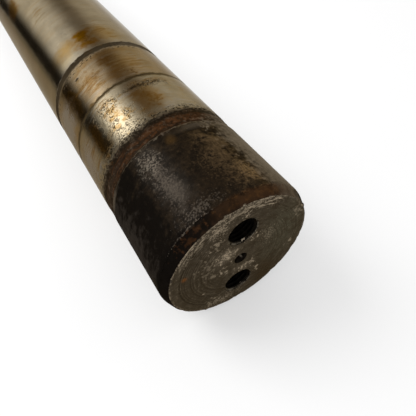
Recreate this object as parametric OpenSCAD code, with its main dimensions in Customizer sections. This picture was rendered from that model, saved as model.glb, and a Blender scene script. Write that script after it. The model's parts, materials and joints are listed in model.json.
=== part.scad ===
// Excavator pin: one ground steel shaft that a bucket or an arm turns on. Two tapped holes
// in its front end take the keeper plate that stops it from turning and from sliding out.
// The pin lies along Y with the tapped end at -Y. Its lowest line is at Z = 0, and its
// middle is at the origin. Service has left a row of worn bands at each end of the journal.

/* [Pin] */
// Diameter of the ground journal
pin_d = 80; // [60:1:120]
// Length over the two end faces
pin_l = 500; // [420:5:900]

/* [Lead-in at each end] */
// Length of the taper that guides the pin into its bores
lead_l = 5; // [2:0.5:10]
// How far the taper drops below the journal at the end face, on the radius
lead_drop = 2.2; // [0.8:0.1:4]
// Radius that blends the taper into the journal
lead_blend_r = 6; // [1:0.5:12]
// Radius that breaks the edge of the end face
face_edge_r = 0.6; // [0.2:0.1:1.5]

/* [Worn bands, measured from each end face] */
// Length of the seat that sits in the outer boss
seat_l = 54.5; // [40:0.5:80]
// Width of the rusted neck between the boss and the bearing
neck_w = 12.5; // [6:0.5:20]
// Depth of the rusted neck below the journal
neck_depth = 0.3; // [0.1:0.05:1]
// Width of the slope on each side of the neck
neck_slope_w = 1; // [0.4:0.1:2]
// Depth of the wear on the bearing bands behind the neck
band_wear = 0.1; // [0.05:0.05:0.5]
// Place of the scored ring between the two bearing bands
score_at = 105; // [102:0.5:115]
// Width of the scored ring
score_w = 1; // [0.4:0.1:2]
// Depth of the scored ring below the bands
score_depth = 0.25; // [0.05:0.05:0.6]
// Place of the steep side of the wear groove, where the unworn journal starts
groove_at = 148; // [130:1:180]
// Width of the wear groove
groove_w = 5; // [3:0.5:9]
// Width of the groove's steep side
groove_steep_w = 1; // [0.4:0.1:2]
// Depth of the wear groove below the journal
groove_depth = 0.5; // [0.2:0.05:1.2]
// Radius that rounds the bottom and the shoulders of the neck and the groove
band_blend_r = 3; // [0.5:0.5:5]

/* [Tapped holes for the keeper plate] */
// Distance between the two hole centres
keeper_pitch = 40; // [30:1:48]
// Nominal diameter of the thread
thread_d = 16; // [8:1:20]
// Pitch of the thread
thread_pitch = 2; // [1:0.25:2.5]
// Depth of the drilled hole to the shoulder of its point
keeper_depth = 42; // [20:1:60]
// Full angle of the drill's point
drill_point_angle = 118; // [90:1:140]
// Full angle of the countersink at the mouth
countersink_angle = 90; // [60:5:120]

/* [Centre holes for turning and grinding] */
// Diameter of the centre cone at the end face
centre_mouth_d = 7; // [4:0.1:10]
// Diameter of the pilot hole
centre_pilot_d = 3.2; // [2:0.1:3.8]
// Length of the pilot hole behind the cone
centre_pilot_l = 4; // [2:0.5:10]
// Full angle of the centre cone
centre_angle = 60; // [60:15:90]

/* [Hidden] */
$fn = 128;
steel_colour = [0.48, 0.42, 0.34];
// Cutters reach this far past the face that they open
overcut = 1;
// Straight steps that stand for one rounded corner of the turned outline
arc_steps = 4;
// The most of a straight side that one rounded corner may take
side_share = 0.48;

pin_r = pin_d / 2;
band_r = pin_r - band_wear;
neck_r = pin_r - neck_depth;
neck_end = seat_l + neck_w;
groove_start = groove_at - groove_w;
tap_drill_d = thread_d - thread_pitch;

// Turned outline of one end, as [distance from the end face, radius, corner radius]
end_outline = [
    [0, pin_r - lead_drop, face_edge_r],
    [lead_l, pin_r, lead_blend_r],
    [seat_l, pin_r, 0],
    [seat_l + neck_slope_w, neck_r, band_blend_r],
    [neck_end - neck_slope_w, neck_r, band_blend_r],
    [neck_end, band_r, band_blend_r],
    [score_at - score_w / 2, band_r, 0],
    [score_at, band_r - score_depth, 0],
    [score_at + score_w / 2, band_r, 0],
    [groove_start, band_r, band_blend_r],
    [groove_at - groove_steep_w, pin_r - groove_depth, band_blend_r],
    [groove_at, pin_r, 0]
];

function reversed(list) = [for (i = [len(list) - 1 : -1 : 0]) list[i]];

// The same end, seen from the far end face
function far_end(outline) = [for (p = reversed(outline)) [pin_l - p[0], p[1], p[2]]];

function unit(v) = v / norm(v);

// Points of one corner between two straight sides, rounded as far as the sides allow
function rounded_corner(before, corner, after, wanted_r) =
    let (
        to_before = unit(before - corner),
        to_after = unit(after - corner),
        half_angle = acos(to_before * to_after) / 2,
        room = side_share * min(norm(before - corner), norm(after - corner)),
        r = min(wanted_r, room * tan(half_angle)),
        centre = corner + unit(to_before + to_after) * r / sin(half_angle),
        from = corner + to_before * r / tan(half_angle) - centre,
        to = corner + to_after * r / tan(half_angle) - centre
    )
    [for (i = [0 : arc_steps]) centre + r * unit(from + (to - from) * i / arc_steps)];

// Half section of the turned pin as [radius, distance from the front end face]
function turned_section(outline) =
    let (
        line = [for (p = outline) [p[1], p[0]]],
        closed = concat([[0, 0]], line, [[0, pin_l]])
    )
    [
        for (i = [0 : len(closed) - 1])
            let (corner_r = i == 0 || i == len(closed) - 1 ? 0 : outline[i - 1][2])
            each corner_r > 0
                ? rounded_corner(closed[i - 1], closed[i], closed[i + 1], corner_r)
                : [closed[i]]
    ];

// Solid of the turned shaft, standing on its front end face
module turned_shaft() {
    rotate_extrude()
        polygon(turned_section(concat(end_outline, far_end(end_outline))));
}

// Cone cut that is mouth_d wide at the face and narrows to throat_d at the given full angle
module cone_mouth(mouth_d, throat_d, angle) {
    slope = tan(angle / 2);
    translate([0, 0, -overcut])
        cylinder(
            h = overcut + (mouth_d - throat_d) / 2 / slope,
            d1 = mouth_d + 2 * overcut * slope,
            d2 = throat_d
        );
}

// Blind drilled hole with the drill's point at its bottom
module drilled_hole(d, depth) {
    translate([0, 0, -overcut])
        cylinder(h = depth + overcut, d = d);
    translate([0, 0, depth])
        cylinder(h = d / 2 / tan(drill_point_angle / 2), d1 = d, d2 = 0);
}

// Tap-size hole with its mouth countersunk to the thread's nominal diameter
module tapped_hole() {
    drilled_hole(tap_drill_d, keeper_depth);
    cone_mouth(thread_d, tap_drill_d, countersink_angle);
}

// Centre hole: the cone that the machine's centre runs in, with its pilot
module centre_hole() {
    cone_depth = (centre_mouth_d - centre_pilot_d) / 2 / tan(centre_angle / 2);
    cone_mouth(centre_mouth_d, centre_pilot_d, centre_angle);
    drilled_hole(centre_pilot_d, cone_depth + centre_pilot_l);
}

module pin() {
    color(steel_colour)
        translate([0, -pin_l / 2, pin_r])
            rotate([-90, 0, 0])
                difference() {
                    turned_shaft();
                    for (side = [-1, 1])
                        translate([0, side * keeper_pitch / 2, 0])
                            tapped_hole();
                    centre_hole();
                    translate([0, 0, pin_l])
                        mirror([0, 0, 1])
                            centre_hole();
                }
}

pin();
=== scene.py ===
"""Worn excavator pin: a ground steel shaft with worn bands and two tapped holes in its front end."""

import json
import logging
import math
from dataclasses import dataclass
from enum import Enum
from typing import Any, Iterable, Union

import bmesh
import bpy
import numpy as np
from mathutils import Euler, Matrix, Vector
from mathutils.geometry import delaunay_2d_cdt


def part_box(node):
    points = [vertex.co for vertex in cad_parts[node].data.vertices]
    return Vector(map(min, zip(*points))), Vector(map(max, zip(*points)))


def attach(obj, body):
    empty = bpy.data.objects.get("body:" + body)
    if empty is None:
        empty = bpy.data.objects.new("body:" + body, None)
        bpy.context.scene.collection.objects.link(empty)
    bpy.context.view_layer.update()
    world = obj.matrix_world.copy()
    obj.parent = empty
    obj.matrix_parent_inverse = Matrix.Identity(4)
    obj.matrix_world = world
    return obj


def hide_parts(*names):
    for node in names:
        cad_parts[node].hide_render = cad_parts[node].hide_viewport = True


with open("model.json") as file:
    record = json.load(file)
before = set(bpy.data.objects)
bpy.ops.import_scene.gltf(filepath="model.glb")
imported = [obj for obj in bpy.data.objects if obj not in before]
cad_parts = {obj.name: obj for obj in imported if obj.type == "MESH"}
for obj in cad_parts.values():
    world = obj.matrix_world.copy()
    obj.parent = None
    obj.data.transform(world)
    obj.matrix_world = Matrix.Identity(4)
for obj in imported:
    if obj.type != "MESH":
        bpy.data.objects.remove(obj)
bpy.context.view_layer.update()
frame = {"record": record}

LOG = logging.getLogger("excavator_pin")
MM = 0.001
PER_METRE = 1000.0
BODY = "root"
NODE = "pin"
WEAR_SEED = 7
RELIEF = "relief"
NOISE_MIDDLE = 0.5
QUARTER_CIRCLE = 90.0
HALF_CIRCLE = 180.0
FULL_CIRCLE = 360.0
# Radius on the end face, in millimetres, where turned marks have the length that their grain gives
FACE_MARK_RADIUS = 30.0
# Places of the Mix node's sockets: its two colours, its two numbers and the colour that it puts out
MIX_COLOURS = (6, 7)
MIX_NUMBERS = (2, 3)
MIXED_COLOUR = 2
# The way of filling an outline that keeps every triangle, also those in the holes
FILL_ALL = 0

Colour = tuple[float, float, float]
Point = tuple[float, float, float]
Range = tuple[float, float]
Opening = tuple[float, float, int]
Number = Union[float, "Field"]


class Surface(Enum):
    """The pin's three kinds of surface; the value is the place of its material on the mesh."""

    JOURNAL = 0
    END_FACE = 1
    BORE = 2


class End(Enum):
    """The pin's two ends; the value is the direction from the face into the pin, along Y."""

    FRONT = 1
    BACK = -1


class Mark(Enum):
    """Places along the pin that stretches of its side are measured from."""

    FACE = "end face"
    LEAD_END = "end of the lead-in"
    SEAT_END = "end of the seat"
    NECK_END = "end of the neck"
    SCORE = "scored ring"
    GROOVE_START = "start of the wear groove"
    GROOVE = "steep side of the wear groove"


class Wiring:
    """Adds nodes to one shader or geometry tree and links them."""

    def __init__(self, tree: bpy.types.NodeTree) -> None:
        """Keeps the tree that the nodes go into."""
        self.tree = tree

    def plug(self, socket: bpy.types.NodeSocket, value: Any) -> None:
        """Links a field to an input, or sets the input's own value.

        Args:
            socket: the input socket.
            value: a field, an output socket or a plain value.
        """
        if isinstance(value, Field):
            value = value.socket
        if isinstance(value, bpy.types.NodeSocket):
            self.tree.links.new(value, socket)
        else:
            socket.default_value = value

    def node(self, kind: str, inputs: dict[Any, Any] | None = None, **settings: Any) -> bpy.types.Node:
        """Adds one node.

        Args:
            kind: the node's type name.
            inputs: values or fields for its input sockets, by name or index.
            settings: the node's own properties.

        Returns:
            The new node.
        """
        made = self.tree.nodes.new(kind)
        for name, value in settings.items():
            setattr(made, name, value)
        for name, value in (inputs or {}).items():
            self.plug(made.inputs[name], value)
        return made

    def field(self, kind: str, output: Any, inputs: dict[Any, Any] | None = None,
              **settings: Any) -> "Field":
        """Adds one node and returns the named output as a field."""
        return Field(self, self.node(kind, inputs, **settings).outputs[output])

    def math(self, operation: str, *values: Number) -> "Field":
        """Adds one arithmetic node over the given numbers."""
        return self.field("ShaderNodeMath", 0, dict(enumerate(values)), operation=operation)

    def vector_math(self, operation: str, *values: Any) -> "Field":
        """Adds one vector arithmetic node over the given vectors."""
        return self.field("ShaderNodeVectorMath", 0, dict(enumerate(values)), operation=operation)

    def combine(self, x: Number, y: Number, z: Number) -> "Field":
        """Joins three numbers into a vector."""
        return self.field("ShaderNodeCombineXYZ", 0, {0: x, 1: y, 2: z})

    def separate(self, vector: Any) -> tuple["Field", ...]:
        """Splits a vector into its three numbers."""
        made = self.node("ShaderNodeSeparateXYZ", {0: vector})
        return tuple(Field(self, output) for output in made.outputs)

    def noise(self, vector: Any, scale: Number, detail: float = 3.0, distortion: float = 0.0,
              roughness: float = 0.5) -> "Field":
        """Cloudy noise from 0 to 1.

        Args:
            vector: where the noise is read.
            scale: cells in each unit of the vector.
            detail: how many finer layers are added.
            distortion: how far the cells are pulled about.
            roughness: how strong each finer layer is beside the one before.

        Returns:
            The noise as a field.
        """
        inputs = {"Vector": vector, "Scale": scale, "Detail": detail, "Distortion": distortion,
                  "Roughness": roughness}
        return self.field("ShaderNodeTexNoise", 0, inputs)

    def ramp(self, value: Number, low: Number, high: Number, to_low: Number = 0.0,
             to_high: Number = 1.0) -> "Field":
        """Smooth step from one level to another as value goes from low to high."""
        inputs = {0: value, 1: low, 2: high, 3: to_low, 4: to_high}
        return self.field("ShaderNodeMapRange", 0, inputs, interpolation_type="SMOOTHSTEP")

    def window(self, value: Number, low: float, high: float, soft: float) -> "Field":
        """One between low and high, falling to nothing over the soft width outside them."""
        return self.ramp(value, low - soft, low) * self.ramp(value, high + soft, high)

    def mix(self, share: Number, first: Any, second: Any) -> "Field":
        """Blends two colours by the share of the second."""
        inputs = dict(zip((0, *MIX_COLOURS), (share, rgba(first), rgba(second))))
        return self.field("ShaderNodeMix", MIXED_COLOUR, inputs, data_type="RGBA")

    def blend(self, share: Number, first: Number, second: Number) -> "Field":
        """Blends two numbers by the share of the second."""
        inputs = dict(zip((0, *MIX_NUMBERS), (share, first, second)))
        return self.field("ShaderNodeMix", 0, inputs, data_type="FLOAT")

    def length(self, vector: Any) -> "Field":
        """Length of a vector."""
        return self.field("ShaderNodeVectorMath", "Value", {0: vector}, operation="LENGTH")

    def seen_by(self, *rays: str) -> "Field":
        """One where a ray of one of the named kinds sees the surface.

        Args:
            rays: the kinds of rays, as the Light Path node calls them.

        Returns:
            The share as a field.
        """
        kinds = self.node("ShaderNodeLightPath").outputs
        seen, *others = (Field(self, kinds[ray]) for ray in rays)
        for other in others:
            seen = self.math("MAXIMUM", seen, other)
        return seen

    def scaled(self, vector: Any, factor: Number) -> "Field":
        """Multiplies a vector or colour by a number."""
        return self.field("ShaderNodeVectorMath", 0, {0: vector, "Scale": factor}, operation="SCALE")


@dataclass(frozen=True)
class Field:
    """A number, vector or colour that a node puts out, with plain arithmetic."""

    wiring: Wiring
    socket: bpy.types.NodeSocket

    def __add__(self, other: Number) -> "Field":
        """Sum."""
        return self.wiring.math("ADD", self, other)

    def __sub__(self, other: Number) -> "Field":
        """Difference."""
        return self.wiring.math("SUBTRACT", self, other)

    def __rsub__(self, other: Number) -> "Field":
        """Difference with a plain number first."""
        return self.wiring.math("SUBTRACT", other, self)

    def __mul__(self, other: Number) -> "Field":
        """Product."""
        return self.wiring.math("MULTIPLY", self, other)

    def __truediv__(self, other: Number) -> "Field":
        """Quotient."""
        return self.wiring.math("DIVIDE", self, other)

    def __abs__(self) -> "Field":
        """Size without its sign."""
        return self.wiring.math("ABSOLUTE", self)


def rgba(colour: Any) -> Any:
    """Adds full alpha to a plain colour, and passes a field on."""
    return colour if isinstance(colour, Field) else (*colour, 1.0)


def blank_material(name: str) -> bpy.types.Material:
    """Makes a material with an empty node tree.

    Args:
        name: the material's name.

    Returns:
        The new material.
    """
    made = bpy.data.materials.new(name)
    made.use_nodes = True
    made.node_tree.nodes.clear()
    return made


def put_in_scene(made: bpy.types.Object) -> bpy.types.Object:
    """Puts an object into the scene and hands it on."""
    bpy.context.scene.collection.objects.link(made)
    return made


def rectangle(left: float, right: float, low: float, high: float) -> tuple[Range, ...]:
    """Corners of a rectangle in order."""
    return (left, low), (right, low), (right, high), (left, high)


def degrees_apart(angles: np.ndarray, other: float) -> np.ndarray:
    """Degrees from each angle round the axis to another one, the short way."""
    return np.abs((angles - other + HALF_CIRCLE) % FULL_CIRCLE - HALF_CIRCLE)


@dataclass
class PinSizes:
    """Sizes of the pin in millimetres; places are measured from an end face."""

    radius: float
    length: float
    hole_radius: float
    hole_pitch: float
    lead_length: float = 5.0
    lead_drop: float = 2.2
    lead_blend: float = 6.0
    face_edge: float = 0.6
    seat_length: float = 54.5
    neck_width: float = 12.5
    neck_depth: float = 0.3
    neck_slope: float = 1.0
    band_wear: float = 0.1
    score_at: float = 105.0
    score_width: float = 1.0
    score_depth: float = 0.25
    groove_at: float = 148.0
    groove_width: float = 5.0
    groove_steep: float = 1.0
    groove_depth: float = 0.5
    band_blend: float = 3.0
    edge_break: float = 0.25
    thread_depth: float = 1.0
    thread_pitch: float = 2.0
    threaded_length: float = 34.0
    hole_depth: float = 42.0
    drill_point_angle: float = 118.0
    centre_mouth: float = 3.5
    centre_pilot: float = 1.6
    centre_pilot_length: float = 4.0
    centre_angle: float = 60.0

    @classmethod
    def from_record(cls, record: dict[str, Any]) -> "PinSizes":
        """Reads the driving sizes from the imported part.

        Args:
            record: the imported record.

        Returns:
            The pin's sizes.
        """
        low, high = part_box(NODE)
        mounts = {mount["name"]: mount["dims"] for mount in record["mounts"]}
        return cls(
            radius=mounts["bearing"]["r_mm"],
            length=(high.y - low.y) * PER_METRE,
            hole_radius=mounts["keeper_bolts"]["hole_r_mm"],
            hole_pitch=mounts["keeper_bolts"]["spacing_y_mm"],
        )

    @property
    def face_radius(self) -> float:
        """Radius of the end faces before their edge is broken."""
        return self.radius - self.lead_drop

    @property
    def neck_end(self) -> float:
        """Place where the rusted neck ends."""
        return self.seat_length + self.neck_width

    @property
    def groove_start(self) -> float:
        """Place where the wear groove starts."""
        return self.groove_at - self.groove_width

    @property
    def band_radius(self) -> float:
        """Radius of the worn bearing bands."""
        return self.radius - self.band_wear

    @property
    def mouth_radius(self) -> float:
        """Radius of a tapped hole's mouth at the face."""
        return self.hole_radius + self.thread_depth

    @property
    def point_slope(self) -> float:
        """Radius that the drill's point gains for each millimetre from its tip."""
        return math.tan(math.radians(self.drill_point_angle / 2))

    def mark(self, mark: Mark) -> float:
        """Place of a mark, from the end face.

        Args:
            mark: the mark.

        Returns:
            Its distance from the end face, in millimetres.
        """
        return {
            Mark.FACE: 0.0,
            Mark.LEAD_END: self.lead_length,
            Mark.SEAT_END: self.seat_length,
            Mark.NECK_END: self.neck_end,
            Mark.SCORE: self.score_at,
            Mark.GROOVE_START: self.groove_start,
            Mark.GROOVE: self.groove_at,
        }[mark]

    def face_y(self, end: End) -> float:
        """Place of an end face along Y, in metres."""
        return -end.value * self.length / 2 * MM

    def hole_heights(self, end: End) -> tuple[float, ...]:
        """Heights of the tapped holes above the axis at an end."""
        half = self.hole_pitch / 2
        return (half, -half) if end is End.FRONT else ()


@dataclass
class Outline:
    """Turned outline of the whole pin as points (distance from the front face, radius)."""

    sizes: PinSizes
    arc_steps: int = 4
    side_share: float = 0.48
    fine_step: float = 1.25
    coarse_step: float = 6.0
    inset: float = 0.05

    def corners(self) -> list[tuple[float, float, float]]:
        """Corners of the outline as (distance, radius, corner radius).

        Returns:
            The corners from the front face to the back face.
        """
        sizes = self.sizes
        half_score = sizes.score_width / 2
        front = [
            (0.0, sizes.face_radius, sizes.face_edge),
            (sizes.lead_length, sizes.radius, sizes.lead_blend),
            (sizes.seat_length, sizes.radius, sizes.edge_break),
            (sizes.seat_length + sizes.neck_slope, sizes.radius - sizes.neck_depth, sizes.band_blend),
            (sizes.neck_end - sizes.neck_slope, sizes.radius - sizes.neck_depth, sizes.band_blend),
            (sizes.neck_end, sizes.band_radius, sizes.band_blend),
            (sizes.score_at - half_score, sizes.band_radius, sizes.edge_break),
            (sizes.score_at, sizes.band_radius - sizes.score_depth, sizes.edge_break),
            (sizes.score_at + half_score, sizes.band_radius, sizes.edge_break),
            (sizes.groove_start, sizes.band_radius, sizes.band_blend),
            (sizes.groove_at - sizes.groove_steep, sizes.radius - sizes.groove_depth, sizes.band_blend),
            (sizes.groove_at, sizes.radius, sizes.edge_break),
        ]
        back = [(sizes.length - along, radius, blend) for along, radius, blend in reversed(front)]
        return front + back

    def rounded(self) -> list[np.ndarray]:
        """Outline points with each corner rounded as far as its sides allow.

        Returns:
            The points from the front face to the back face.
        """
        corners = self.corners()
        start = np.array((0.0, 0.0))
        stop = np.array((self.sizes.length, 0.0))
        line = [start, *(np.array(corner[:2]) for corner in corners), stop]
        points: list[np.ndarray] = []
        for before, corner, after, (_, _, wanted) in zip(line, line[1:], line[2:], corners):
            back = (before - corner) / np.linalg.norm(before - corner)
            ahead = (after - corner) / np.linalg.norm(after - corner)
            half = math.acos(float(np.clip(back @ ahead, -1, 1))) / 2
            room = self.side_share * min(np.linalg.norm(before - corner), np.linalg.norm(after - corner))
            radius = min(wanted, room * math.tan(half))
            middle = corner + (back + ahead) / np.linalg.norm(back + ahead) * radius / math.sin(half)
            first = corner + back * radius / math.tan(half) - middle
            last = corner + ahead * radius / math.tan(half) - middle
            for share in np.linspace(0, 1, self.arc_steps + 1):
                spoke = first + (last - first) * share
                points.append(middle + radius * spoke / np.linalg.norm(spoke))
        return points

    def points(self) -> np.ndarray:
        """Outline with its rings close together on the worn ends and wide apart on the plain middle.

        Returns:
            The points, set in a little so that the worn pin stays inside its full size.
        """
        made = self.rounded()
        spaced = [made[0]]
        for start, stop in zip(made, made[1:]):
            middle = (start[0] + stop[0]) / 2
            worn = min(middle, self.sizes.length - middle) < self.sizes.groove_at
            step = self.fine_step if worn else self.coarse_step
            count = max(1, math.ceil(np.linalg.norm(stop - start) / step))
            spaced.extend(start + (stop - start) * i / count for i in range(1, count + 1))
        return np.array(spaced) - np.array((0.0, self.inset))


class Tree:
    """One geometry tree with named inputs."""

    def __init__(self, name: str, inputs: dict[str, str]) -> None:
        """Makes the tree's sockets.

        Args:
            name: the tree's name.
            inputs: the inputs' names and the kinds of their sockets.
        """
        self.group = bpy.data.node_groups.new(name, "GeometryNodeTree")
        sockets = self.group.interface
        for label, kind in {"Geometry": "Geometry", **inputs}.items():
            sockets.new_socket(label, in_out="INPUT", socket_type=f"NodeSocket{kind}")
        sockets.new_socket("Geometry", in_out="OUTPUT", socket_type="NodeSocketGeometry")
        self.wiring = Wiring(self.group)
        given = self.wiring.node("NodeGroupInput")
        self.given = {socket.name: Field(self.wiring, socket) for socket in given.outputs if socket.name}

    def close(self, geometry: Field, dress: dict[str, Any]) -> None:
        """Realizes instances and sets materials.

        Args:
            geometry: what the tree made.
            dress: selections by the name of the material input that they take.
        """
        made = self.wiring.field("GeometryNodeRealizeInstances", 0, {0: geometry})
        for label, selection in dress.items():
            inputs = {"Geometry": made, "Selection": selection, "Material": self.given[label]}
            made = self.wiring.field("GeometryNodeSetMaterial", 0, inputs)
        self.wiring.node("NodeGroupOutput", {0: made})

    def grow(self, name: str, start: bpy.types.Mesh, values: dict[str, Any]) -> bpy.types.Mesh:
        """Runs the tree on a mesh.

        Args:
            name: the new mesh's name.
            start: the mesh that the tree is given.
            values: the inputs' values by name.

        Returns:
            The result as a plain mesh.
        """
        carrier = put_in_scene(bpy.data.objects.new(name, start))
        modifier = carrier.modifiers.new(self.group.name, "NODES")
        modifier.node_group = self.group
        for item in self.group.interface.items_tree:
            if item.in_out == "INPUT" and item.name in values:
                modifier[item.identifier] = values[item.name]
        depsgraph = bpy.context.evaluated_depsgraph_get()
        made = bpy.data.meshes.new_from_object(carrier.evaluated_get(depsgraph))
        carrier.modifiers.remove(modifier)
        bpy.data.objects.remove(carrier)
        made.name = name
        return made


class Lathe:
    """Turns outlines into round walls about the pin's axis."""

    def __init__(self, sizes: PinSizes) -> None:
        """Builds the tree: the outline is swept round a circle that then lies along Y.

        Args:
            sizes: the pin's sizes.
        """
        self.sizes = sizes
        self.tree = Tree("turned_wall", {
            "Turning radius": "Float",
            "Segments": "Int",
            "Face centre": "Vector",
            "Finish": "Material",
        })
        wiring = self.tree.wiring
        given = self.tree.given
        circle = wiring.field("GeometryNodeCurvePrimitiveCircle", 0,
                              {"Resolution": given["Segments"], "Radius": given["Turning radius"]})
        upright = wiring.field("GeometryNodeSetCurveNormal", 0, {"Curve": circle}, mode="Z_UP")
        outline = wiring.field("GeometryNodeMeshToCurve", 0, {"Mesh": given["Geometry"]})
        wall = wiring.field("GeometryNodeCurveToMesh", 0, {"Curve": upright, "Profile Curve": outline})
        laid = wiring.field("GeometryNodeTransform", 0, {
            "Geometry": wall,
            "Translation": given["Face centre"],
            "Rotation": Euler((-math.pi / 2, 0, 0)),
        })
        self.tree.close(laid, {"Finish": True})

    def turn(self, name: str, outline: np.ndarray, end: End, segments: int,
             finish: bpy.types.Material) -> bpy.types.Mesh:
        """Turns one outline.

        Args:
            name: the wall's name.
            outline: points (distance from the end face, radius).
            end: the end that the distances are measured from.
            segments: flats round the wall.
            finish: the wall's material.

        Returns:
            The wall as an open mesh.
        """
        turning_radius = self.sizes.radius
        line = bpy.data.meshes.new(f"{name}_outline")
        points = [((radius - turning_radius) * MM, -end.value * along * MM, 0)
                  for along, radius in outline]
        line.from_pydata(points, [(i, i + 1) for i in range(len(points) - 1)], [])
        return self.tree.grow(name, line, {
            "Turning radius": turning_radius * MM,
            "Segments": segments,
            "Face centre": (0.0, self.sizes.face_y(end), self.sizes.radius * MM),
            "Finish": finish,
        })


@dataclass
class CentreHole:
    """Small cone and pilot hole in the middle of an end face."""

    sizes: PinSizes
    segments: int = 32
    cone_rings: int = 4

    def build(self, lathe: Lathe, end: End, finish: bpy.types.Material) -> bpy.types.Mesh:
        """Turns the hole's wall.

        Args:
            lathe: the lathe that turns it.
            end: the end that it is in.
            finish: its material.

        Returns:
            The wall as a mesh.
        """
        sizes = self.sizes
        cone = (sizes.centre_mouth - sizes.centre_pilot) / math.tan(math.radians(sizes.centre_angle / 2))
        bottom = cone + sizes.centre_pilot_length
        tip = bottom + sizes.centre_pilot / sizes.point_slope
        narrowing = sizes.centre_pilot - sizes.centre_mouth
        shares = np.linspace(0, 1, self.cone_rings)
        outline = [(cone * share, sizes.centre_mouth + narrowing * share) for share in shares]
        outline += [(bottom, sizes.centre_pilot), (tip, 0.0)]
        name = f"centre_hole_{end.name.lower()}"
        return lathe.turn(name, np.array(outline), end, self.segments, finish)


@dataclass
class TappedHole:
    """Blind hole with a coarse thread, a countersunk mouth and a drill point at its bottom."""

    sizes: PinSizes
    segments: int = 48
    rings_per_turn: int = 7
    root_flat: float = 0.12
    crest_flat: float = 0.88
    grid_size: float = 1.0

    def __post_init__(self) -> None:
        """Builds the tree: a flat grid, one turn wide, is rolled up into the threaded wall."""
        self.tree = Tree("tapped_hole", {
            "Hole radius": "Float",
            "Thread depth": "Float",
            "Thread pitch": "Float",
            "Threaded length": "Float",
            "Mouth radius": "Float",
            "Point slope": "Float",
            "Full depth": "Float",
            "Segments": "Int",
            "Rings": "Int",
            "Mouth centre": "Vector",
            "Finish": "Material",
        })
        wiring = self.tree.wiring
        given = self.tree.given
        grid = wiring.field("GeometryNodeMeshGrid", 0, {
            "Size X": self.grid_size,
            "Size Y": self.grid_size,
            "Vertices X": given["Segments"] + 1,
            "Vertices Y": given["Rings"] + 1,
        })
        across, along, _ = wiring.separate(wiring.field("GeometryNodeInputPosition", 0))
        half = self.grid_size / 2
        turn = across + half
        depth = (along + half) * given["Full depth"]
        angle = turn * math.tau
        flank = wiring.math("PINGPONG", depth / given["Thread pitch"] - turn, half) / half
        groove = wiring.field("ShaderNodeMapRange", 0, {0: flank, 1: self.root_flat, 2: self.crest_flat})
        run_out = given["Threaded length"] + given["Thread pitch"]
        cut = groove * given["Thread depth"] * wiring.ramp(depth, run_out, given["Threaded length"])
        wall = wiring.math("MAXIMUM", given["Hole radius"] + cut, given["Mouth radius"] - depth)
        radius = wiring.math("MINIMUM", wall, (given["Full depth"] - depth) * given["Point slope"])
        right = radius * wiring.math("COSINE", angle)
        above = radius * wiring.math("SINE", angle)
        place = wiring.combine(right, depth, above)
        rolled = wiring.field("GeometryNodeSetPosition", 0, {
            "Geometry": grid,
            "Position": wiring.vector_math("ADD", place, given["Mouth centre"]),
        })
        self.tree.close(rolled, {"Finish": True})

    def build(self, name: str, height: float, finish: bpy.types.Material) -> bpy.types.Mesh:
        """Rolls up one hole in the front face.

        Args:
            name: the wall's name.
            height: the hole's height above the pin's axis.
            finish: the wall's material.

        Returns:
            The wall as a mesh.
        """
        sizes = self.sizes
        full_depth = sizes.hole_depth + sizes.hole_radius / sizes.point_slope
        return self.tree.grow(name, bpy.data.meshes.new(f"{name}_start"), {
            "Hole radius": sizes.hole_radius * MM,
            "Thread depth": sizes.thread_depth * MM,
            "Thread pitch": sizes.thread_pitch * MM,
            "Threaded length": sizes.threaded_length * MM,
            "Mouth radius": sizes.mouth_radius * MM,
            "Point slope": sizes.point_slope,
            "Full depth": full_depth * MM,
            "Segments": self.segments,
            "Rings": round(full_depth / sizes.thread_pitch * self.rings_per_turn),
            "Mouth centre": (0.0, sizes.face_y(End.FRONT), (sizes.radius + height) * MM),
            "Finish": finish,
        })


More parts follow.
